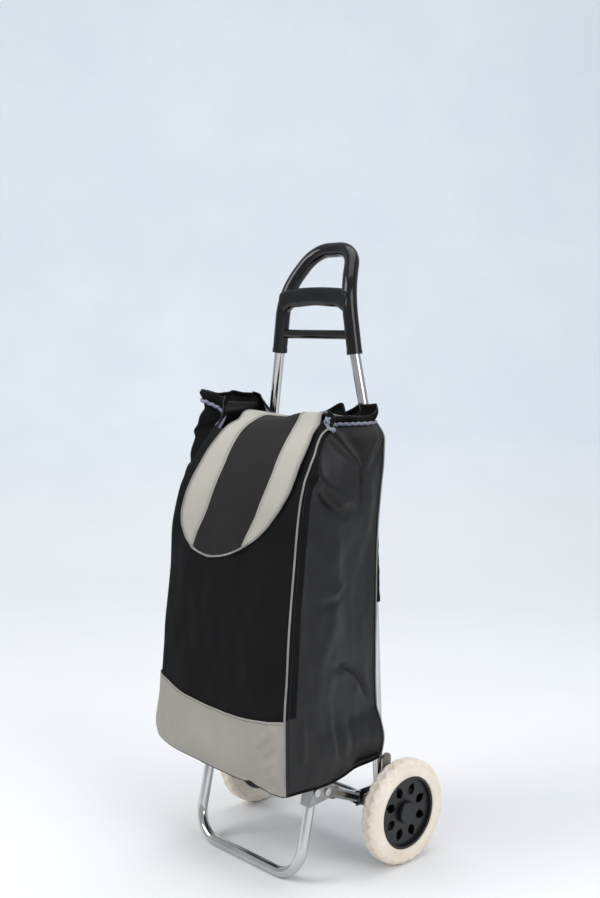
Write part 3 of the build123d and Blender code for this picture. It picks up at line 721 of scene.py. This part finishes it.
def sewn_panels():
    """Front, right, back and left panel, with the columns at their seams in common."""
    right, left = side_panel(1, ROWS, SIDE_COLS), side_panel(-1, ROWS, SIDE_COLS)
    front = front_panel(ROWS, FRONT_COLS)
    for start, step, side in ((-1, -1, right), (0, 1, left)):
        miss = side[:, 0] - front[:, start]
        for k in range(BLEND_COLS):
            front[:, start + step * k] += miss * (1 - smooth(k / BLEND_COLS))
    t = np.linspace(0, 1, BACK_COLS)
    back = right[:, -1][:, None] * (1 - t[:, None]) + left[:, -1][:, None] * t[:, None]
    top = NECK + 3 - 4 * smooth(t, 0.1, 0.4) + 20 * smooth(t, 0.88, 1)
    foot = back[0, :, 2].copy()
    back[..., 2] = foot + (back[..., 2] - foot) * ((top - foot) / (back[-1, :, 2] - foot))[None]
    left[:, -1], right[:, -1] = back[:, -1], back[:, 0]
    sag = np.minimum(noise_at(back * [1, 1, 0.4], 70, 9.0) * 3.0, 0)
    back[..., 1] += sag * np.sin(math.pi * t)[None]
    return front, right, back, left


soft = []          # the soft pieces, each with a listed share to keep; here they only get their own meshes
KEEP_BAG, KEEP_FLAP = 0.31, 0.34


def rides(o, body, slot, *nodes, squashed=True):
    """Put a piece on its body, in place of the CAD nodes named; slot is not used."""
    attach(o, body)
    if nodes:
        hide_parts(*nodes)
    if squashed:
        soft.append((o, KEEP_FLAP if body == "flap" else KEEP_BAG))
    return o


def bag_shell(shell):
    """The bag's cloth in one piece: front of matt cloth, sides of nylon, with painted shade in
    matt cloth beside the front seams.
    """
    n_front, n_side = FRONT_COLS - 1, SIDE_COLS - 1
    uv = np.zeros((ROWS, shell.shape[1] + 1, 2))
    uv[..., 0] = lengths(shell[ROWS // 3], closed=True)[None]
    uv[:, :-1, 1] = shell[..., 2]
    uv[:, -1, 1] = shell[:, 0, 2]
    index = np.zeros((ROWS, shell.shape[1]), int)
    index[:, n_front + SHADE_STRIP:n_front + n_side] = 1
    index[:, -n_side:-SHADE_STRIP] = 1
    # painted shade: the sides' columns beside the front seam keep the darker matt cloth, on the
    # right only above the band
    shade_strip = slice(n_front, n_front + SHADE_STRIP)
    index[:, shade_strip][shell[:, shade_strip, 2] < band_top(BAND_HALF)] = 1
    rides(grid_piece("bag_shell", shell, [BLACK, NYLON], uv=uv, index=index, loop_u=True,
                     thick=1.4, side=-1),
          "frame", "black_fabric", "bag_front", "bag_gusset_right", "bag_gusset_left",
          "bag_back")


def grey_band(front, rows=60):
    """The band, a second layer sewn over the foot of the front."""
    band = np.zeros((rows, FRONT_COLS, 3))
    for c in range(FRONT_COLS):
        zc = front[:, c, 2]
        want = np.linspace(zc[0], band_top(front[30, c, 0]), rows)
        for k in range(3):
            band[:, c, k] = np.interp(want, zc, front[:, c, k])
    band[..., 1] -= 1.1 * smooth(np.linspace(0, 1, FRONT_COLS), 0, 0.06)[None]
    band[:, :8, 0] -= 1.0
    uv = np.stack([band[..., 0], band[..., 2]], -1)
    rides(grid_piece("band_grey", band, [GREY], uv=uv, thick=0.9, side=1), "frame",
          "grey_fabric", "bag_band")
    return band


FLOOR_HALF, FLOOR_FRONT, FLOOR_DEPTH, FLOOR_Z = 138, -214, 198, 163.5


def bag_floor():
    """The bag's floor, laid flat in place of the CAD floor."""
    x = np.linspace(-1, 1, 60)[None, :] * FLOOR_HALF
    y = FLOOR_FRONT + np.linspace(0, 1, 40)[:, None] * FLOOR_DEPTH
    P = np.stack(np.broadcast_arrays(x, y, FLOOR_Z + 0 * x), -1).copy()
    P[..., 2] += np.abs(noise_at(P, 40, 2.0)) * 1.5
    o = grid_piece("floor_cloth", P, [LINING], uv=P[..., :2].copy(), thick=1.2, side=1)
    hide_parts("bag_floor")
    tuple(world([0, -26, 163]))
    tuple(world([0, -44, 163]))
    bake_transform(o)


def even(pts, times=6):
    """Smooth a route in place, with its ends held."""
    for _ in range(times):
        pts[1:-1] = 0.5 * pts[1:-1] + 0.25 * (pts[:-2] + pts[2:])
    return pts


# seam, its column in the side, the piping's place off it and radius
PIPED = (("front", 0, (0.6, -1.0), 1.4), ("rear", -1, (0.9, 0.5), 1.1))


def seam_piping(s, side, name):
    for which, column, off, r in PIPED:
        line = side[:, column] + [s * off[0], off[1], 0]
        rides(path_piece(f"{which}_piping_{name}", resample(line, 4), r, PIPING), "frame",
              "piping_trim", f"piping_{which}_{name}")


def foot_piping():
    foot = np.concatenate([left[0, ::-1], front[0, 1:], right[0, 1:]])
    foot = even(resample(foot, 4))
    foot[:, 2] -= 0.8
    rides(path_piece("foot_piping", foot, 1.6, BLACK), "frame", "black_fabric")


front, right, back, left = sewn_panels()
shell = np.concatenate([front[:, :-1], right[:, :-1], back[:, :-1], left[:, :0:-1]], 1)
bag_shell(shell)
band = grey_band(front)
bag_floor()
seam_piping(1, right, "right")
seam_piping(-1, left, "left")
foot_piping()

# ------------------------------------------------------------------ drawcord and collar
N_COL = 480
neck = shell[-1]
neck_s = lengths(neck, closed=True)
mark = np.cumsum([0, FRONT_COLS - 1, SIDE_COLS - 1, BACK_COLS - 1, SIDE_COLS - 1])
along = np.linspace(0, neck_s[-1], N_COL, endpoint=False)
closed = np.concatenate([neck, neck[:1]])
ring = np.stack([np.interp(along, neck_s, closed[:, k]) for k in range(3)], 1)
place = np.interp(along, neck_s, np.arange(len(closed)))


def by_place(front_h, right_h, back_h, left_h):
    """A value round the mouth, from short lists along each panel."""
    out = np.zeros(N_COL)
    for k, pts in enumerate((front_h, right_h, back_h, left_h)):
        t = (place - mark[k]) / (mark[k + 1] - mark[k])
        here = (t >= 0) & (t <= 1)
        out[here] = spline(*zip(*pts))(t[here])
    return out


tall = by_place([(0, 30), (0.05, 24), (0.1, 5), (0.2, 2), (0.92, 2), (0.96, 6), (1, 18)],
                [(0, 15), (0.06, 16), (0.3, 15), (0.6, 11), (0.85, 10), (0.95, 14), (1, 22)],
                [(0, 24), (0.1, 25), (0.18, 16), (0.22, 13), (0.26, 25), (0.4, 13), (0.55, 1),
                 (0.8, 1), (0.88, 2), (0.95, 8), (1, 12)],
                [(0, 12), (0.3, 15), (0.6, 13), (0.9, 17), (1, 30)])
open_w = by_place([(0, 1), (0.05, 0.6), (0.1, 0), (0.93, 0), (1, 1)], [(0, 1), (1, 0.6)],
                  [(0, 0.6), (0.28, 0.8), (0.4, 0), (0.85, 0), (0.95, 0.6), (1, 1)],
                  [(0, 1), (1, 1)])


def level_normals(route):
    """Directions out of a closed route, in the level plane and smoothed along it."""
    t = np.roll(route, -3, 0) - np.roll(route, 3, 0)
    out = np.stack([t[:, 1], -t[:, 0], 0 * t[:, 0]], 1)
    out /= np.linalg.norm(out, axis=1)[:, None] + 1e-9
    for _ in range(12):
        out = 0.5 * out + 0.25 * (np.roll(out, 1, 0) + np.roll(out, -1, 0))
    return out / (np.linalg.norm(out, axis=1)[:, None] + 1e-9)


outward = level_normals(ring)
TURN = 2 * math.pi
LOBE, SMALL_LOBE, GATHER = 47, 21, 9.3     # lengths of the hem's waves along the cord
lobes = (np.sin(along * TURN / LOBE + 1.4 * np.sin(along / 37))
         + 0.35 * np.sin(along * TURN / SMALL_LOBE + 2 + np.sin(along / 23)))
pucker = np.sin(along * TURN / GATHER + 1.1 * np.sin(along / 17))
COLLAR_ROWS = 18
hv = np.linspace(0, 1, COLLAR_ROWS)[:, None]
collar = ring[None] + np.zeros((COLLAR_ROWS, 1, 1))
collar[..., 2] += hv * (tall * (1 + 0.10 * lobes * open_w))[None]
push = (5.5 * lobes * smooth(hv, 0.05, 0.9) + 0.9 * pucker * (1 - smooth(hv, 0.1, 0.75))
        + 4.5 * np.sin(hv * math.pi * 0.85) - 2.0 * smooth(hv, 0.6, 1.0)) * open_w
collar += outward[None] * (push - 3.0 * (1 - open_w) * hv)[..., None]
collar += outward[None] * (noise_at(collar, 16, 5.0) * 3.0 * hv * open_w)[..., None]
col_uv = np.zeros((COLLAR_ROWS, N_COL + 1, 2))
col_uv[..., 0] = np.concatenate([along, [neck_s[-1]]])[None]
col_uv[..., 1] = np.concatenate([tall, tall[:1]])[None] * hv
rides(grid_piece("collar", collar, [BLACK], uv=col_uv, loop_u=True, thick=1.5, side=-1),
      "frame", "black_fabric", "collar_left", "collar_right")
hem = path_piece("collar_hem", collar[-1][::2] - [0, 0, 0.4], 1.2, NYLON, loop=True)
rides(hem, "frame", "nylon")

CORD_R, KNOT_R = 2.6, 2.2
cord_line = ring + outward * ((4.0 + 0.8 * pucker) * open_w - 3.0 * (1 - open_w))[:, None]
cord_line[:, 2] += (0.8 + 1.0 * pucker) * open_w - 4.0 * (1 - open_w)


def braid(i, a):
    """Relief of a braided cord at step i along it and angle a round it."""
    return 1 + 0.12 * np.sin(i * 1.3 + 2 * a) * np.sin(i * 1.3 - 2 * a)


rides(tube_piece("cord_round_mouth", cord_line, CORD_R, CORD, braid, loop=True), "frame", "cord",
      "drawcord")
knot_at = right[-1, 0] + [2.5, -2.5, 1.0]
knot = np.array([[0, 3, 3], [3, -2, 5], [-1, -6, 2], [-5, -3, -3], [-1, 1, -6], [4, -2, -3],
                 [3, -6, 3], [-2, -4, 6], [-3, 1, 1], [1, 0, -7], [2, -1, -15]], float)
t_k = np.linspace(0, len(knot) - 1, 90)
knot = np.stack([np.interp(t_k, range(len(knot)), knot[:, k]) for k in range(3)], 1)
rides(tube_piece("cord_knot", even(knot, 14) + knot_at, KNOT_R, CORD, braid), "frame", "cord")

# ------------------------------------------------------------------ flap
FLAP_OFF = 5.0                   # from the bag's front to the middle of the flap's cloth
FLAP_FOOT, FLAP_TURN = 472, 648  # heights of its lower end and of its turn over the mouth
# by height: middle and half width of the flap, then of its dark stripe
flap_mid = spline([470, 482, 503, 535, 580, 632, 648], [-31, -28, -21, -8, 10, 18, 19])
flap_half = spline([472, 476, 484, 496, 514, 535, 560, 580, 620, 648],
                   [2, 26, 50, 71, 91, 102, 107, 108, 103, 97])
dark_mid = spline([470, 495, 545, 600, 648], [-18, -11, 11, 22, 18])
dark_half = spline([470, 580, 648], [54, 54, 53])
# the part over the mouth, from the back seam forward
over_y = [-26, -50, -76, -100, -123, -139]
over_z = [666.0, 668.0, 671.0, 672.0, 667.0, 654.0]
crest = spline([-95, -65, -46, -20, 10, 46, 84, 105], [8, 8, 1.5, -0.5, 2.5, 11, 14, 13])
over = resample(np.stack([np.zeros(6), over_y, over_z], 1), 4)
over = even(over, 8)
over_t = np.linspace(0, 1, len(over))
over_half = spline([0, 0.45, 0.75, 1], [84, 87, 92, 96])(over_t)
over_mid = spline([0, 0.45, 0.75, 1], [0, 3, 13, 19])(over_t)
over_dark = spline([0, 0.45, 0.75, 1], [0, 2, 12, 17])(over_t)
over_dhalf = spline([0, 0.45, 1], [46, 47, 53])(over_t)


def on_front(x, z, off):
    """Points off the bag's front by off."""
    hw = half_w(z)
    w = np.clip(x / hw, -1, 1)
    y = seam_y(z) - crown(z) * (1 - np.abs(w) ** 2.4)
    slope = (seam_y(z + 2) - seam_y(z - 2)) / 4
    ln = np.sqrt(1 + slope ** 2)
    past = np.maximum(np.abs(x) - hw * 0.9, 0)
    return np.stack([x + 0 * z, y - off / ln + 0.35 * past, z + off * slope / ln + 0 * x], -1)


LIGHT_COLS, DARK_COLS = 26, 40
DARK_FROM, DARK_TO = LIGHT_COLS - 1, LIGHT_COLS + DARK_COLS - 2


def across(mid, half, dmid, dhalf):
    """Points across the flap, with a column on each edge of the stripes."""
    a, b = mid - half, mid + half
    li, ri = np.clip(dmid - dhalf, a, b), np.clip(dmid + dhalf, a, b)
    return np.concatenate([np.linspace(a, li, LIGHT_COLS)[:-1],
                           np.linspace(li, ri, DARK_COLS)[:-1], np.linspace(ri, b, LIGHT_COLS)])


rows = []
for k in range(len(over)):
    x = across(over_mid[k], over_half[k], over_dark[k], over_dhalf[k])
    side = (x - over_mid[k]) / over_half[k]
    droop = 6.0 * np.exp(-((over_t[k] - 0.72) / 0.16) ** 2) * np.abs(side) ** 2.5
    far = over[k, 1] + 84
    droop -= crest(x) * (np.exp(-(far / 30) ** 2) if far < 0
                         else 0.55 + 0.45 * math.exp(-(far / 25) ** 2))
    rows.append(np.stack([x, over[k, 1] + 0 * x + 0.6 * droop, over[k, 2] - droop], 1))
for z in np.linspace(0, 1, 84)[::-1] ** 1.2 * (FLAP_TURN - FLAP_FOOT) + FLAP_FOOT:
    x = across(float(flap_mid(z)), float(flap_half(z)), float(dark_mid(z)), float(dark_half(z)))
    rows.append(on_front(x, np.full(len(x), z), FLAP_OFF))
flap_p = np.array(rows)
n_over = len(over)
turn = slice(n_over - 8, n_over + 8)
for _ in range(14):
    flap_p[turn] = 0.5 * flap_p[turn] + 0.25 * (flap_p[n_over - 9:n_over + 7]
                                                + flap_p[n_over - 7:n_over + 9])
wave = noise_at(flap_p * [1, 1, 0.5], 60, 12.0) * 3.2 + noise_at(flap_p, 24, 2.0) * 0.9
down = smooth(np.arange(len(flap_p)), n_over - 6, n_over + 30)[:, None]
flap_p[..., 1] -= np.maximum(wave, -1.2) * down
flap_p[:n_over, :, 2] += (wave[:n_over] * 0.8) * (1 - down[:n_over])
rise = np.linalg.norm(np.diff(flap_p, axis=0), axis=-1).mean(1)
run = np.concatenate([[0], np.cumsum(rise)])
flap_uv = np.stack([flap_p[..., 0], np.broadcast_to(run[:, None], flap_p.shape[:2])], -1)
fidx = np.ones(flap_p.shape[:2], int)
fidx[:, DARK_FROM:DARK_TO] = 0
flap_o = rides(grid_piece("flap_cloth", flap_p, [FLAPDARK, STRIPE], uv=flap_uv, index=fidx,
                          thick=1.5, side=1, merge=True), "flap", "black_fabric", "flap")
rim = resample(np.concatenate([flap_p[:, 0], flap_p[-1, 1:-1], flap_p[::-1, -1]]), 3)
flap_edge = rides(path_piece("flap_edge_piping", rim, 1.5, PIPING), "flap", "piping_trim")
seams = []
for c, s in ((DARK_FROM, -1), (DARK_TO, 1)):
    for d in (1.5, 5.0):
        line = flap_p[:-3, c] + np.array([s * d, -1.2, 0.6])
        seams.append(resample(line, 3))
inner = np.concatenate([flap_p[6:-2, 2], flap_p[-3, 3:-3:3], flap_p[-2:6:-1, -3]])
seams.append(resample(inner + [0, -1.3, 0.5], 3))
flap_thread = rides(stitch_piece("flap_stitching", seams, THREAD), "flap", "piping_trim")

# stitching of the bag
seams = [resample(band[-3][2:-2] + [0, -1.0, 0], 3)]
seams += [resample(P[3:-4, 3] + [s * 0.9, -0.4, 0], 3) for s, P in ((1, right), (-1, left))]
rides(stitch_piece("bag_stitching", seams, THREAD_DARK), "frame", "black_fabric")

# ------------------------------------------------------------------ sleeves round the rear tubes
SLEEVE_R, SLEEVE_ROWS, SLEEVE_COLS = 10.6, 70, 40


def sleeve(s, name):
    """A loose tube of cloth round a rear tube, with slight wrinkles."""
    lo_b, hi_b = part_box(f"sleeve_{name}")
    zs = np.linspace(lo_b[2] / MM, hi_b[2] / MM, SLEEVE_ROWS)
    cx = (TUBE_X - TUBE_IN * (zs - AXLE)) * s
    cy = LEAN * (zs - AXLE)
    a = np.linspace(0, TURN, SLEEVE_COLS, endpoint=False)[None, :]
    i = np.arange(SLEEVE_ROWS)[:, None]
    r = SLEEVE_R * (1 + 0.03 * np.sin(i * 0.35 + 3 * a) + 0.02 * np.sin(i * 0.9 - 2 * a + 1))
    P = np.stack([cx[:, None] + r * np.cos(a), cy[:, None] + r * np.sin(a),
                  zs[:, None] + 0 * a], -1)
    uv = np.stack(np.broadcast_arrays(np.linspace(0, TURN, SLEEVE_COLS + 1)[None] * SLEEVE_R,
                                      zs[:, None]), -1)
    rides(grid_piece(f"tube_sleeve_{name}", P, [BLACK], uv=uv, loop_u=True, thick=1.2, side=-1),
          "frame", "black_fabric", f"sleeve_{name}", squashed=False)


for s, name in SIDES:
    sleeve(s, name)

BAG_BACK = tuple(world([0, -12.5, 200]))
for o, keep in soft:
    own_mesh(o)

# ------------------------------------------------------------------ tyres
TYRE_R, HUB_R, HALF_TYRE, SHOULDER = 80.0, 55.5, 13.5, 9.0
LUG_PITCH, LUG_DEPTH = 19.3, 1.1
SIDE_DIP = 0.7          # how far the side walls are hollow at hub and shoulder
ROUND_STEPS = 512


def tyre_section():
    """The tyre's section as (x, radius), starting at the hub on the left wall."""
    prof = [(-HALF_TYRE, r) for r in np.linspace(HUB_R, TYRE_R - SHOULDER, 8)]
    prof += [(-HALF_TYRE + SHOULDER * (1 - math.cos(q)), TYRE_R - SHOULDER * (1 - math.sin(q)))
             for q in np.linspace(0, math.pi / 2, 12)[1:]]
    prof += [(x, TYRE_R) for x in np.linspace(-4.5, 4.5, 9)[1:-1]]
    prof += [(-x, r) for x, r in prof[:19][::-1]]
    prof += [(x, HUB_R) for x in np.linspace(HALF_TYRE, -HALF_TYRE, 5)[1:-1]]
    return np.array(prof)


def tyre(name):
    """A foam tyre whose relief is a net of crossing ribs, strongest on the tread."""
    lo_b, hi_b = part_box(f"tyre_{name}")
    cx = (lo_b[0] + hi_b[0]) / 2 / MM
    prof = tyre_section()
    th = np.linspace(0, TURN, ROUND_STEPS, endpoint=False)[:, None]
    x0, r0 = prof[None, :, 0], prof[None, :, 1]
    girth = lengths(prof)
    mid = girth[np.argmin(np.abs(prof[:, 0]) + (TYRE_R - prof[:, 1]))]
    across_t = (girth - mid)[None]
    ph = th * round(TURN * TYRE_R / LUG_PITCH)
    cross = across_t / LUG_PITCH * TURN * 0.8
    rib = np.maximum(np.abs(np.cos((ph + cross) / 2)), np.abs(np.cos((ph - cross) / 2))) ** 6
    rib = np.clip(rib * 1.25, 0, 1)
    on = (1 - smooth(np.abs(across_t), 15, 24)) * (r0 > HUB_R + 1)
    relief = 1 - (1 - rib) * on
    drop = LUG_DEPTH * (1 - relief)
    nx = np.clip((np.abs(x0) - (HALF_TYRE - SHOULDER)) / SHOULDER, 0, 1) * np.sign(x0)
    nr = np.sqrt(np.clip(1 - nx ** 2, 0, 1))
    xx = x0 - nx * drop + 0 * th
    rr = r0 - nr * drop
    wall = (np.abs(x0) >= HALF_TYRE - 0.01) * (r0 > HUB_R)
    up_wall = np.clip((r0 - HUB_R) / (TYRE_R - SHOULDER - HUB_R), 0, 1)
    xx = xx - np.sign(x0) * SIDE_DIP * (1 - np.sin(up_wall * math.pi)) * wall
    P = np.stack([cx + xx, rr * np.sin(th), AXLE_Z / MM + rr * np.cos(th)], -1)
    P = np.concatenate([P, P[:1]])
    rel = np.concatenate([relief + 0 * th, relief[:1] + 0 * th[:1]])
    # the relief attribute also drives the foam's painted groove shade
    o = grid_piece(f"tyre_tread_{name}", P, [EVA], loop_u=True, attrs={"relief": rel})
    rework(o.data, merge=True, face_out=True)
    rides(o, f"wheel_{name}", "eva_tyre", f"tyre_{name}", squashed=False)


for s, name in SIDES:
    tyre(name)

# ------------------------------------------------------------------ middle grip of the handle
def middle_grip():
    """The moulding between the handle's arms: arched on top, waved below, deeper at its ends."""
    g_lo, g_hi = (np.array(v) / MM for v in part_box("handle_mid_grip"))
    mid_y = (g_lo[1] + g_hi[1]) / 2 - AXLE_Y / MM
    reach = g_hi[0] + 3
    x = np.linspace(-reach, reach, 90)[:, None]
    e = np.abs(x) / reach
    top_z = g_hi[2] - 4.0 * e ** 2 - 2.0 * smooth(e, 0.8, 1)
    low_z = g_lo[2] - 2.3 + 1.2 * np.cos(e * 5.0) - 13.0 * smooth(e, 0.6, 1.0) ** 1.3
    half_z, half_y = (top_z - low_z) / 2, 8.5 + 1.5 * smooth(e, 0.6, 1)
    a = np.linspace(0, TURN, 40, endpoint=False)[None, :]
    across_y, up_z = (np.sign(v) * np.abs(v) ** 0.72 for v in (np.cos(a), np.sin(a)))
    P = np.stack([x + 0 * a, mid_y + half_y * across_y, (top_z + low_z) / 2 + half_z * up_z], -1)
    o = grid_piece("middle_grip", P, [GLOSS], loop_u=True)
    rework(o.data, cap=True, face_out=True)
    rides(o, "frame", "gloss_black_plastic", "handle_mid_grip", squashed=False)


middle_grip()

# ------------------------------------------------------------------ camera, light, floor
EYE, AIM, ROLL = (1392.7, -1328.6, 832.3), (-58.4, 0.0, 613.0), math.radians(-0.36)
LENS, SENSOR = 49.63, 36


def look(o, place, target):
    """Put an object at a place and turn its -Z towards the target."""
    o.location = place
    o.rotation_mode = "QUATERNION"
    o.rotation_quaternion = (Vector(target) - Vector(place)).to_track_quat("-Z", "Y")
    col.objects.link(o)


def camera():
    cam = bpy.data.cameras.new("Camera")
    cam.lens, cam.sensor_width = LENS, SENSOR
    cam.clip_start, cam.clip_end = 0.05, 60
    o = bpy.data.objects.new("Camera", cam)
    look(o, world(EYE), world(AIM))
    o.rotation_quaternion = o.rotation_quaternion @ Quaternion((0, 0, 1), ROLL)
    scene.camera = o


def paper_and_wall():
    """White paper that turns to a pale blue with height."""
    m = Nodes("Studio_paper")
    co = m.object_co()
    sep = m.new("ShaderNodeSeparateXYZ")
    m.put(sep.inputs[0], co)
    tone = m.noise(co, 2.2, 5, 0.6)
    paper = m.ramp(tone, [(0.3, (0.82, 0.825, 0.83)), (0.7, (0.845, 0.85, 0.855))])
    wall = m.ramp(tone, [(0.3, (0.73, 0.785, 0.835)), (0.7, (0.79, 0.83, 0.87))])
    height = m.math("MULTIPLY_ADD", sep.outputs[2], 2.5, 0.0, clamp=True)
    return m.set(Base_Color=m.mix(height, paper, wall), Roughness=0.75, Specular_IOR_Level=0.2)


def studio_floor():
    """A sweep of paper: flat under the object, bent up behind it."""
    away, along_wall = Vector((-0.737, 0.676, 0)), Vector((0.676, 0.737, 0))
    near, bend_at, bend, top, half = -4.0, 1.6, 1.6, 5.0, 5
    prof = [(near, 0.0), (bend_at, 0.0)]
    prof += [(bend_at + bend * math.sin(a), bend * (1 - math.cos(a)))
             for a in np.linspace(0.1, math.pi / 2, 16)]
    prof += [(bend_at + bend, top)]
    me = bpy.data.meshes.new("studio_floor")
    bm = bmesh.new()
    rows = [[bm.verts.new(away * d + along_wall * w + Vector((0, 0, z - 0.0004)))
             for w in (-half, half)] for d, z in prof]
    for a, b in zip(rows, rows[1:]):
        bm.faces.new((a[0], a[1], b[1], b[0]))
    bmesh.ops.recalc_face_normals(bm, faces=bm.faces)
    bm.to_mesh(me)
    bm.free()
    me.materials.append(paper_and_wall())
    me.polygons.foreach_set("use_smooth", [True] * len(me.polygons))
    o = bpy.data.objects.new("studio_floor", me)
    col.objects.link(o)


def area(name, place, target, size, power, color, size_y=None):
    """A soft lamp, square unless size_y is given."""
    lamp = bpy.data.lights.new(name, "AREA")
    lamp.energy, lamp.color, lamp.size = power, color, size
    if size_y:
        lamp.shape, lamp.size_y = "RECTANGLE", size_y
    look(bpy.data.objects.new(name, lamp), place, target)


def surroundings(color, strength):
    """An even light from all round."""
    w = bpy.data.worlds.new("World")
    scene.world = w
    w.use_nodes = True
    bg = w.node_tree.nodes["Background"]
    bg.inputs[0].default_value = (*color, 1)
    bg.inputs[1].default_value = strength


camera()
studio_floor()
area("Key", (-1.2, -2.6, 2.6), (0, 0, 0.5), 1.8, 62, (1.0, 0.99, 0.97))
area("Side", (2.6, -0.2, 1.7), (0, 0, 0.5), 1.4, 34, (0.97, 0.985, 1.0), size_y=2.0)
area("Top", (0.2, 0.3, 3.2), (0, 0, 0.4), 2.6, 40, (1, 1, 1))
surroundings((0.86, 0.90, 0.96), 0.55)
scene.view_settings.view_transform = "Standard"
scene.view_settings.look = "None"
scene.view_settings.exposure = 0.0
